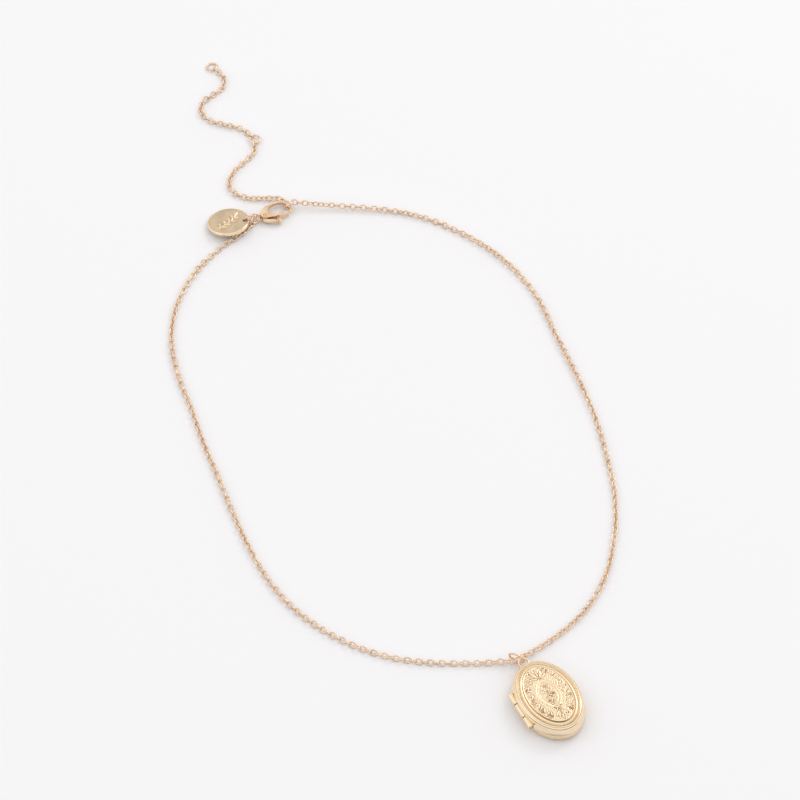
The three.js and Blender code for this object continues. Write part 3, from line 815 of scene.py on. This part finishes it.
def stipple(relief):
    """Punched dots over the ground between the motifs."""
    generator = np.random.default_rng(11)
    spots = generator.uniform((-5.4, -8.8), (5.4, 8.8), (2600, 2))
    cell = {}
    for spot in spots:
        key = tuple((spot // 0.44).astype(int))
        if all(np.hypot(*(spot - other)) > 0.42
               for i in (-1, 0, 1) for j in (-1, 0, 1) for other in cell.get((key[0] + i, key[1] + j), ())):
            cell.setdefault(key, []).append(spot)
    radius = 0.19
    for spot in (s for group in cell.values() for s in group):
        index = relief.near(spot, spot, radius)
        distance = np.linalg.norm(relief.xy[index] - spot, axis=1)
        form = np.clip(1 - distance / radius, 0, 1) * (relief.cover[index] < 0.5)
        relief.height[index] -= 0.13 * form


def engrave(xy):
    xy = xy / FIELD_STRETCH
    relief = Relief(xy)
    full_side(relief)
    light_side(relief)
    bail_end_leaves(relief)
    foot_fan(relief)
    inside = np.abs(xy[:, 0] - MEDALLION[0]) < MEDALLION_OUTER[0] * np.clip(
        1 - ((xy[:, 1] - MEDALLION[1]) / MEDALLION_OUTER[1]) ** 2, 0, 1) ** 0.85
    relief.height[inside] = 0
    relief.cover[inside] = 0
    medallion(relief)
    stipple(relief)
    return relief.height


FIELD_EDGE_Z = 5.3
FIELD_TOP_Z = 5.5
COVER_OUTSIDE = [
    (0.45, 2.75), (0.42, 2.75), (0.03, 2.75), (0.0, 2.78), (0.01, 2.82), (0.03, 2.86), (0.3, 3.35),
                 (0.33, 3.42),
    *arc_profile([(0.35, 3.5), (0.37, 3.7), (0.39, 4.0), (0.43, 4.35), (0.55, 4.66), (0.72, 4.87),
                  (0.95, 5.03),
                  (1.15, 5.12), (1.28, 5.17)], 3),
    (1.33, 5.14), (1.37, 5.02), (1.42, 4.97), (1.46, 4.98), (1.48, 5.01), (1.59, 5.21), (1.61, 5.23),
                 (1.65, 5.22), (1.7, 5.1),
    (1.74, 5.04), (2.04, 5.04), (2.1, 5.12), (2.3, 5.16), (2.5, 5.14), (2.56, 5.03), (2.62, 5.0),
                 (2.66, 5.0),
    (2.68, 5.03), (2.82, 5.29), (2.84, 5.32), (2.9, FIELD_EDGE_Z),
]
COVER_INSIDE = [(0.45, 3.12), (0.6, 3.4), (0.78, 3.9), (0.98, 4.2), (1.25, 4.45), (1.55, 4.65), (2.9, 4.74)]
COVER_UNDER_Z = 5.02
# Levels read by the engraved gold: lower levels paint darker shade. The border's channel rows get painted
# shade, and so do the cuts, in proportion to their depth in millimetres.
PLAIN_TONE = 0.62
TRACK_SHADE_TONE = 0.2
TRACK_Z = (4.99, 5.08)
BEAD_TONE = 0.7
CUT_SHADE_PER_MM = 4.2
BEAD_INSET = 1.89
BEAD_R = 0.155
BEAD_BASE_Z = 5.06
BEAD_SPACING = 0.35


def square_to_disc():
    """(share, angle) for each point of a square grid spread evenly over a disc, row by row."""
    line = np.linspace(-1, 1, FIELD_CELLS + 1)
    a, b = (g.ravel() for g in np.meshgrid(line, line, indexing="ij"))
    wide = np.abs(a) > np.abs(b)
    radius = np.where(wide, a, b)
    with np.errstate(divide="ignore", invalid="ignore"):
        angle = np.where(wide, math.pi / 4 * b / a, math.pi / 2 - math.pi / 4 * a / b)
    angle = np.where(radius == 0, 0, angle)
    return np.abs(radius), np.where(radius < 0, angle + math.pi, angle)


def square_boundary():
    """Indices of the square grid's edge points, turning anticlockwise from its corner at -45 degrees."""
    n = FIELD_CELLS
    index = lambda i, j: i * (n + 1) + j
    return ([index(n, j) for j in range(n)] + [index(n - i, n) for i in range(n)]
            + [index(0, n - j) for j in range(n)] + [index(i, 0) for i in range(n)])


def front_cover():
    theta = np.linspace(0, TAU, OVAL_STEPS, endpoint=False) - math.pi / 4
    rows = [oval_row(theta, place, z) for place, z in COVER_OUTSIDE]
    share, angle = square_to_disc()
    flat = share[:, None] * oval_outline(angle, CORE_INSET)
    relief = engrave(flat) * np.clip((1 - share) / 0.02, 0, 1)
    height = FIELD_TOP_Z - (FIELD_TOP_Z - FIELD_EDGE_Z) * share ** 2
    field = np.column_stack([flat, height + relief])
    field_start = len(rows) * OVAL_STEPS
    faces = grid_faces(len(rows), OVAL_STEPS, False, True)
    n = FIELD_CELLS + 1
    faces += [tuple(field_start + k for k in (i * n + j, (i + 1) * n + j, (i + 1) * n + j + 1,
                                              i * n + j + 1))
              for i in range(FIELD_CELLS) for j in range(FIELD_CELLS)]
    rim = [field_start + k for k in square_boundary()]
    last_row = field_start - OVAL_STEPS
    faces += [(last_row + i, last_row + (i + 1) % OVAL_STEPS, rim[(i + 1) % OVAL_STEPS], rim[i])
              for i in range(OVAL_STEPS)]
    inner_start = field_start + len(field)
    middle = inner_start + len(COVER_INSIDE) * OVAL_STEPS
    points = np.concatenate([*rows, field, *(oval_row(theta, place, z) for place, z in COVER_INSIDE),
                             [(0, 0, COVER_UNDER_Z)]])
    faces += [(i, inner_start + i, inner_start + (i + 1) % OVAL_STEPS,
               (i + 1) % OVAL_STEPS) for i in range(OVAL_STEPS)]
    faces += [face[::-1] for face in grid_faces(len(COVER_INSIDE), OVAL_STEPS, False, True, inner_start)]
    inner_last = middle - OVAL_STEPS
    faces += [(middle, inner_last + (i + 1) % OVAL_STEPS, inner_last + i) for i in range(OVAL_STEPS)]
    shade_levels = np.full(len(points), PLAIN_TONE)
    # Painted shade: rows in the beaded channel and the border's grooves take the track's dark level all
    # round.
    row_shade_tones = [TRACK_SHADE_TONE if TRACK_Z[0] < z < TRACK_Z[1] else PLAIN_TONE for _, z in COVER_OUTSIDE]
    shade_levels[:field_start] = np.repeat(row_shade_tones, OVAL_STEPS)
    # Painted shade: cut depth lowers the level, and the engraved gold paints lower levels darker.
    shade_levels[field_start:inner_start] = np.clip(PLAIN_TONE + relief * CUT_SHADE_PER_MM, 0, 1)
    bead_points, bead_faces = merge([bead(t) for t in bead_places()])
    base = len(points)
    points = np.concatenate([points, bead_points])
    faces += [tuple(base + i for i in face) for face in bead_faces]
    shade_levels = np.concatenate([shade_levels, np.full(len(bead_points), BEAD_TONE)])
    piece = make_object("front_cover_engraved", points, faces, ENGRAVED, 60)
    attribute = piece.data.attributes.new("relief", "FLOAT", "POINT")
    attribute.data.foreach_set("value", shade_levels.astype(np.float32))
    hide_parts("front_cover")
    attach(piece, "cover")
    cut_shell(piece, 1, 60)
    return piece


def bead_places():
    """Evenly spaced angles along the beaded ring."""
    theta = np.linspace(0, TAU, 2000)
    line = np.column_stack([oval_outline(theta, BEAD_INSET), np.zeros(2000)])
    along = lengths_along(line)
    count = round(along[-1] / BEAD_SPACING)
    return np.interp(np.arange(count) * along[-1] / count, along, theta)


def bead(theta):
    centre = np.array([*oval_outline(np.array([theta]), BEAD_INSET)[0], BEAD_BASE_Z])
    sides, lifts = 10, (0, 22, 45, 68)
    turn = np.linspace(0, TAU, sides, endpoint=False)
    rows = []
    for lift in np.radians(lifts):
        ring = np.column_stack([np.cos(lift) * np.cos(turn), np.cos(lift) * np.sin(turn),
                                np.full(sides, np.sin(lift))])
        rows.append(centre + BEAD_R * ring)
    points = np.concatenate([*rows, [centre + (0, 0, BEAD_R)], [centre - (0, 0, 0.05)]])
    faces = grid_faces(len(lifts), sides, False, True)
    top, bottom = len(points) - 2, len(points) - 1
    last = (len(lifts) - 1) * sides
    faces += [(last + k, last + (k + 1) % sides, top) for k in range(sides)]
    faces += [((k + 1) % sides, k, bottom) for k in range(sides)]
    return points, faces


# ---- Locket insides ----

def over_parting(profile):
    return [(place, 2 * PARTING_Z - z) for place, z in profile][::-1]


def inside_fittings():
    rim = [(0.92, 1.6), (0.56, 1.6), (0.56, 2.98), (0.6, 3.04), (0.68, 3.06), (0.86, 3.06), (0.92, 3.0)]
    piece = locket_piece("closing_rim_fine", "closing_rim", oval_solid(rim[::-1], 240), GOLD,
                         "root")
    end = HINGE_END + 0.9
    outline = [(HINGE_X + a, PARTING_Z + b) for a, b in circle(1.39)][::-1]
    boolean(piece, make_object("room", *prism(outline, -end, end), GOLD))
    boolean(piece,
            make_object("room", *box_mesh((HINGE_X - 1, -end, 0.8), (HINGE_X + 0.8, end, 3.8)), GOLD))
    frame_profile = [(2.72, 2.21), (1.9, 2.2), (1.9, 1.2), (1.62, 1.2), (1.6, 2.2), (1.05, 2.2),
                     (1.05, 2.42),
                     (1.12, 2.49), (1.3, 2.5), (2.5, 2.5), (2.7, 2.42), (2.8, 2.3)]
    disc = lambda low, high: [(None, low), (-0.5, low), (2.02, low), (2.0, (low + high) / 2), (2.02, high),
                              (-0.5, high), (None, high)]
    for half, body in (("back", "root"), ("front", "cover")):
        place = (lambda p: p) if half == "back" else over_parting
        frame_piece = locket_piece(f"photo_frame_{half}_fine", f"photo_frame_{half}",
                                   oval_solid(place(frame_profile)[::-1], 200), GOLD, body)
        end = HINGE_END + BARREL_CLEARANCE
        outline = [(HINGE_X + a, PARTING_Z + b) for a, b in circle(BARREL_R + BARREL_CLEARANCE)][::-1]
        boolean(frame_piece, make_object("room", *prism(outline, -end, end), GOLD))
        locket_piece(f"photo_window_{half}_fine", f"photo_window_{half}",
                     oval_solid(place(disc(1.86, 2.09))),
                     WINDOW, body)
        locket_piece(f"photo_card_{half}_fine", f"photo_card_{half}", oval_solid(place(disc(1.46, 1.7))),
                     CARD, body)


# ---- Hinge and bail ----

def turned_along_y(profile, steps=40):
    """A ring-shaped solid about the hinge's axis from a closed profile of (radius, y)."""
    angle = np.linspace(0, TAU, steps, endpoint=False)
    rows = [np.column_stack([HINGE_X + r * np.cos(angle), np.full(steps, y), PARTING_Z + r * np.sin(angle)])
            for r, y in profile]
    return np.concatenate(rows), grid_faces(len(rows), steps, True, True)


def flattened(steps=40, power=2.25, turn=25):
    """How far a rounded square reaches beyond the circle inside it, at each angle."""
    angle = np.linspace(0, TAU, steps, endpoint=False) - math.radians(turn)
    return (np.abs(np.cos(angle)) ** power + np.abs(np.sin(angle)) ** power) ** (-1 / power)


def knuckle_mesh(y0, y1, steps=40):
    edge = 0.13
    y0, y1 = y0 + 0.05, y1 - 0.05
    angle = np.linspace(0, TAU, steps, endpoint=False)
    profile = [(0.43, y0, 0), (0.43, y1, 0), (BARREL_R - edge, y1, 1), (BARREL_R, y1 - edge, 1),
               (BARREL_R, y0 + edge, 1), (BARREL_R - edge, y0, 1)]
    rows = []
    for r, y, flat in profile:
        reach = r * (flattened(steps) if flat else np.ones(steps))
        rows.append(np.column_stack([HINGE_X + reach * np.cos(angle), np.full(steps, y),
                                     PARTING_Z + reach * np.sin(angle)]))
    return np.concatenate(rows), grid_faces(len(rows), steps, True, True)


def hinge():
    for node, body in (("hinge_knuckle_lower", "root"), ("hinge_knuckle_middle", "cover"),
                       ("hinge_knuckle_upper", "root")):
        low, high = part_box(node)
        y0, y1 = low.y / MM, high.y / MM
        knuckle = make_object(node + "_fine", *knuckle_mesh(y0, y1), GOLD, 30)
        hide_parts(node)
        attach(knuckle, body)
    low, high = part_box("hinge_pin")
    y0, y1, r = low.y / MM, high.y / MM, PIN_R
    profile = [(0.0001, y0), (r - 0.08, y0), (r, y0 + 0.08), (r, y1 - 0.08), (r - 0.08, y1), (0.0001, y1)]
    pin = make_object("hinge_pin_fine", *turned_along_y(profile[::-1], 28), STEEL, 30)
    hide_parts("hinge_pin")
    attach(pin, "root")


EYELET_R = 1.3
EYELET_Y = 13.5
EYELET_WIRE_R = 0.3
PIN_R = 0.36


def bail_eyelet():
    """The wire loop at the top, its feet spread a little where they are soldered to the shell."""
    low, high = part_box("bail_eyelet")
    z = (low.z + high.z) / 2 / MM
    angle = np.radians(np.linspace(-30, 210, 40))
    arc = np.stack([EYELET_R * np.cos(angle), EYELET_Y + EYELET_R * np.sin(angle), np.full(40, z)], axis=1)
    feet = [(0.86, 11.75, z), (0.95, 12.15, z)]
    path = np.array([*feet, *arc, *[(-x, y, z) for x, y, z in feet[::-1]]])
    along = lengths_along(path)
    near_foot = np.minimum(along, along[-1] - along)
    radii = EYELET_WIRE_R * (1 + 0.75 * np.exp(-((near_foot / 0.45) ** 2)))
    points, faces = sweep(path, np.stack([radii, radii], axis=1), 20)
    piece = make_object("bail_eyelet_wire", points, faces, GOLD)
    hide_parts("bail_eyelet")
    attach(piece, "root")


# ---- Clasp ----

CLASP_ANGLE = -5.4
RIVET_AT = (1.5, 0.1)
VOXEL = 0.075


def clasp_frame():
    """The clasp's own axes: its origin in millimetres and its turn."""
    low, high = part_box("clasp_rivet")
    rivet = np.array((low + high) / 2) / MM
    turn = math.radians(CLASP_ANGLE)
    rotation = np.array([[math.cos(turn), -math.sin(turn), 0], [math.sin(turn), math.cos(turn), 0],
                         [0, 0, 1]])
    return rivet - rotation @ np.array([*RIVET_AT, 0]), rotation


def cast_piece(name, parts, cutters, smooth_steps, material):
    """Joins simple solids into one smooth casting, then cuts it."""
    base = bpy.data.objects.new(name, bpy.data.meshes.new(name))
    points, faces = merge(parts)
    base.data.from_pydata(points.tolist(), [], faces)
    bpy.context.scene.collection.objects.link(base)
    remesh = base.modifiers.new("remesh", "REMESH")
    remesh.mode = "VOXEL"
    remesh.voxel_size = VOXEL
    smooth = base.modifiers.new("smooth", "SMOOTH")
    smooth.factor = 0.5
    smooth.iterations = smooth_steps
    apply_modifiers(base)
    for cutter_points, cutter_faces in cutters:
        mesh = bpy.data.meshes.new("cutter")
        mesh.from_pydata(np.asarray(cutter_points, float).tolist(), [], cutter_faces)
        cutter = bpy.data.objects.new("cutter", mesh)
        bpy.context.scene.collection.objects.link(cutter)
        boolean(base, cutter)
    origin, rotation = clasp_frame()
    points = np.array([v.co for v in base.data.vertices], float) @ rotation.T + origin
    faces = [tuple(p.vertices) for p in base.data.polygons]
    bpy.data.objects.remove(base)
    return make_object(name, points, faces, material, 38)


def closed_smooth(outline, per_span=5):
    """A closed smooth outline through a few points."""
    points = [(x, y, 0) for x, y in outline]
    wrapped = points[-3:] + points + points[:3]
    line = smooth_line(wrapped, per_span)
    start = 3 * per_span
    return [(float(x), float(y)) for x, y, _ in line[start:start + len(points) * per_span]]


HOUSING = [
    (0.5, 0.15), (0.85, -0.3), (2.1, -0.8), (3.7, -1.2), (4.7, -1.2), (4.95, -0.75), (4.4, -0.2),
           (3.5, 0.35),
    (2.95, 1.1), (3.05, 2.0), (3.5, 2.9), (3.3, 3.45), (2.3, 3.0), (1.2, 2.1), (0.5, 1.3),
]
HOOK = [(2.6, 2.75), (4.1, 3.5), (5.9, 3.9), (7.6, 3.7), (8.75, 2.85), (9.2, 1.6), (9.25, 0.3),
        (9.05, -0.75)]
LEVER = [
    (0.95, 0.4), (0.75, -0.55), (0.55, -1.05), (0.9, -1.5), (2.3, -2.3), (3.9, -2.9), (4.9, -3.25),
    (5.15, -2.7), (4.9, -2.3), (4.2, -2.05), (3.0, -1.4), (1.95, -0.98), (1.95, -0.6), (3.0, -0.58),
         (4.6, -0.97),
    (7.2, -1.1), (8.3, -0.9), (8.3, -0.52), (6.2, -0.4), (5.0, 0.05), (3.2, 0.62), (1.9, 0.82),
]
SLOT = [(0.3, -2), (0.3, 0.75), (1.1, 1.5), (5.6, 1.5), (5.6, -2)]
SPRING = [(0.95, 0.98), (1.7, 1.22), (2.6, 0.92), (2.64, 1.04), (1.75, 1.36), (0.9, 1.1)]
GATE = [(5.15, -1.15), (6.4, -1.36), (7.7, -1.22), (8.4, -0.95), (8.35, -0.5), (7.0, -0.5), (5.3, -0.35)]


def clasp():
    hook_line = smooth_line([(x, y, 0) for x, y in HOOK], 6)
    share = np.linspace(0, 1, len(hook_line))
    radii = np.stack([0.56 - 0.12 * share, 0.74 - 0.2 * share], axis=1)
    hook = sweep(hook_line, radii, 16)
    eye_middle = [(1.02 * math.cos(a), 0.55 + 1.02 * math.sin(a), 0) for a in np.linspace(0, TAU, 40,
                                                                                          endpoint=False)]
    eye = sweep(eye_middle, (0.22, 0.24), 12, closed=True)
    housing = prism(closed_smooth(HOUSING), -0.95, 0.95, "z")
    slot = prism(SLOT, -0.55, 0.55, "z")
    hole = prism(circle(0.42, RIVET_AT, 28), -2, 2, "z")
    body = cast_piece("clasp_body_cast", [hook, eye, housing], [slot, hole], 5, CLASP_GOLD)
    pad = [(x * 0.5, y * 0.74) for x, y in circle(1, steps=24)]
    lean = math.radians(-20)
    pad = [(4.95 + x * math.cos(lean) - y * math.sin(lean),
            -2.8 + x * math.sin(lean) + y * math.cos(lean)) for x, y in pad]
    lever = cast_piece("clasp_lever_cast",
                       [prism(LEVER, -0.36, 0.36, "z"), prism(closed_smooth(GATE, 4), -0.6, 0.6, "z"),
                                              prism(pad, -0.66, 0.66, "z")],
                       [hole], 4, CLASP_GOLD)
    origin, rotation = clasp_frame()
    rivet_profile = [(0.0001, -0.98), (0.3, -0.98), (0.36, -0.9), (0.36, 0.9), (0.3, 0.98), (0.0001, 0.98)]
    angle = np.linspace(0, TAU, 32, endpoint=False)
    rows = [np.column_stack([RIVET_AT[0] + r * np.cos(angle), RIVET_AT[1] + r * np.sin(angle),
                             np.full(32, z)])
            for r, z in rivet_profile]
    rivet = make_object("clasp_rivet_turned", np.concatenate(rows) @ rotation.T + origin,
                        grid_faces(len(rows), 32, True, True), CLASP_GOLD, 30)
    spring_points, spring_faces = prism(closed_smooth(SPRING, 4), -0.3, 0.3, "z")
    spring = make_object("clasp_spring_strip", np.asarray(spring_points) @ rotation.T + origin,
                         spring_faces, STEEL, 30)
    for piece, node, slot_name, body_name in (
            (body, "clasp_body", "clasp_gold", "root"), (lever, "clasp_lever", "clasp_gold", "lever"),
            (rivet, "clasp_rivet", "clasp_gold", "root"), (spring, "clasp_spring", "spring_steel", "root")):
        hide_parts(node)
        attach(piece, body_name)
    return [body, lever, rivet, spring]


# ---- Tag ----

TAG_R = 6.0
TAG_HALF = 0.45
TAG_TILT = -11
TAG_FIELD_Z = TAG_HALF - 0.15
TAG_RAISED_Z = TAG_HALF - 0.11
TAG_HOLE_R = 0.67
TAG_HOLE_REACH = 4.75
TAG_HOLE_HEADING = -27


def tag():
    """A round disc with a polished raised edge, a satin field and a small raised leaf sprig."""
    low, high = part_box("tag")
    centre = np.array((low + high) / 2) / MM
    steps, rows_in = 200, 70
    angle = np.linspace(0, TAU, steps, endpoint=False)
    edge = [(TAG_R - 0.16, -TAG_HALF), (TAG_R - 0.05, -TAG_HALF + 0.05), (TAG_R, -TAG_HALF + 0.16),
            (TAG_R, TAG_HALF - 0.3),
            (TAG_R - 0.03, TAG_HALF - 0.23), (TAG_R - 0.24, TAG_HALF - 0.02), (TAG_R - 0.3, TAG_HALF),
            (TAG_R - 0.4, TAG_HALF), (TAG_R - 0.5, TAG_HALF - 0.03), (TAG_R - 0.55, TAG_HALF - 0.12)]
    rows = [np.column_stack([r * np.cos(angle), r * np.sin(angle), np.full(steps, z)]) for r, z in edge]
    shares = np.linspace(TAG_R - 0.6, 0, rows_in, endpoint=False)
    field = np.concatenate([np.column_stack([r * np.cos(angle), r * np.sin(angle),
                                             np.zeros(steps)]) for r in shares])
    relief = Relief(field[:, :2])
    sprig(relief)
    field[:, 2] = TAG_FIELD_Z + relief.height * 1.1
    points = np.concatenate([*rows, field, [(0, 0, TAG_FIELD_Z)], [(0, 0, -TAG_HALF)]])
    count = len(rows) + rows_in
    top, bottom, last = len(points) - 2, len(points) - 1, (count - 1) * steps
    faces = grid_faces(count, steps, False, True)
    faces += [(last + i, last + (i + 1) % steps, top) for i in range(steps)]
    faces += [((i + 1) % steps, i, bottom) for i in range(steps)]
    heading = math.radians(TAG_HOLE_HEADING)
    hole_at = (TAG_HOLE_REACH * math.cos(heading), TAG_HOLE_REACH * math.sin(heading))
    hole = circle(TAG_HOLE_R, hole_at, 40)
    piece = make_object("tag_disc", points, faces, TAG_GOLD, 40)
    boolean(piece, make_object("hole", *prism(hole, -1, 1, "z"), TAG_GOLD))
    tilt = math.radians(TAG_TILT)
    turned = np.array([v.co for v in piece.data.vertices], float) / MM
    rotation = np.array([[1, 0, 0], [0, math.cos(tilt), -math.sin(tilt)],
                         [0, math.sin(tilt), math.cos(tilt)]])
    placed = (turned @ rotation.T + centre) * MM
    piece.data.materials.clear()
    piece.data.materials.append(TAG_GOLD)
    piece.data.materials.append(TAG_EDGE)
    for polygon in piece.data.polygons:
        middle = np.array([turned[i] for i in polygon.vertices]).mean(0)
        reach = math.hypot(middle[0], middle[1])
        raised = reach < TAG_R - 0.7 and middle[2] > TAG_RAISED_Z
        polygon.material_index = int(reach > TAG_R - 0.28 or raised)
    for vertex, place in zip(piece.data.vertices, placed):
        vertex.co = place
    piece.data.update()
    piece.data.set_sharp_from_angle(angle=math.radians(40))
    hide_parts("tag")
    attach(piece, "tag_body")
    return piece


def sprig(relief):
    relief.stroke([(-4.1, -1.5), (-1.6, -0.9), (0.9, 0.0), (2.9, 1.5)], 0.24, 0.13)
    for x, y, heading in ((-3.1, -1.2, 60), (-2.9, -1.2, -38), (-1.5, -0.8, 62), (-1.3, -0.8, -34),
                          (0.1, -0.25, 68),
                          (0.3, -0.25, -28), (1.6, 0.5, 76), (1.8, 0.5, -20), (2.8, 1.4, 35)):
        relief.leaf((x, y), heading, 1.9, 0.95, 0.13, 0.05, 3)


# ---- Stage and light ----

def make_floor():
    size = 6.0
    mesh = bpy.data.meshes.new("floor")
    mesh.from_pydata([(-size, -size, 0), (size, -size, 0), (size, size, 0), (-size, size, 0)], [],
                     [(0, 1, 2, 3)])
    floor = bpy.data.objects.new("floor", mesh)
    bpy.context.scene.collection.objects.link(floor)
    material, _, _, shader = principled("pale_surface", (0.9, 0.9, 0.91), 0.75, 0.0)
    shader.inputs["Specular IOR Level"].default_value = 0.2
    mesh.materials.append(material)


def make_world():
    """A bright white room, dark towards the camera's side where nothing is lit."""
    world = bpy.data.worlds.new("soft_room")
    bpy.context.scene.world = world
    bpy.context.scene.view_settings.view_transform = "Standard"
    world.use_nodes = True
    nodes, links = world.node_tree.nodes, world.node_tree.links
    background = nodes["Background"]
    coordinates = nodes.new("ShaderNodeTexCoord")
    towards = nodes.new("ShaderNodeVectorMath")
    towards.operation = "DOT_PRODUCT"
    towards.inputs[1].default_value = (-VIEW_HEADING[0], -VIEW_HEADING[1], 0)
    links.new(coordinates.outputs["Generated"], towards.inputs[0])
    split = nodes.new("ShaderNodeSeparateXYZ")
    links.new(coordinates.outputs["Generated"], split.inputs[0])
    low = ramp(nodes, links, split.outputs["Z"],
               [(0.0, grey(1)), (0.2, grey(0.97)), (0.34, grey(0)), (1.0, grey(0))])
    near = ramp(nodes, links, towards.outputs["Value"],
                [(0.0, grey(0)), (0.12, grey(0.25)), (0.4, grey(1)), (1.0, grey(1))])
    share = nodes.new("ShaderNodeMath")
    share.operation = "MULTIPLY"
    links.new(low, share.inputs[0])
    links.new(near, share.inputs[1])
    tone = ramp(nodes, links, share.outputs["Value"],
                [(0.0, (1.0, 0.99, 0.99)), (0.45, (0.6, 0.53, 0.5)), (0.85, (0.05, 0.03, 0.02)),
                 (1.0, (0.03, 0.018, 0.012))])
    links.new(tone, background.inputs["Color"])
    background.inputs["Strength"].default_value = WORLD_STRENGTH


def make_lights():
    for name, place, size, power, colour in LIGHTS:
        light = bpy.data.lights.new(name, "AREA")
        light.size = size
        light.energy = power
        light.color = colour
        lamp = bpy.data.objects.new(name, light)
        lamp.location = place
        lamp.rotation_mode = "QUATERNION"
        lamp.rotation_quaternion = (Vector(TARGET) * MM - Vector(place)).to_track_quat("-Z", "Y")
        bpy.context.scene.collection.objects.link(lamp)


# ---- The whole object ----

clasp_pieces = clasp()
tag_piece = tag()
neck, neck_line = chain("neck_chain", NECK_ROUTE, "clasp_ring", "junction_ring", 3, "neck chain")
inner, inner_line = chain("extender_chain_inner", EXTENDER_ROUTE_INNER, "junction_ring",
                          "extender_mid_ring", 5, "extender")
outer, outer_line = chain("extender_chain_outer", EXTENDER_ROUTE_OUTER, "extender_mid_ring",
                          "extender_end_ring", 8, "extender")
declare_chain(neck, "neck_chain")
declare_chain(inner, "extender_chain_inner")
declare_chain(outer, "extender_chain_outer")
back_shell()
front_cover()
inside_fittings()
hinge()
bail_eyelet()
make_floor()
make_world()
make_lights()
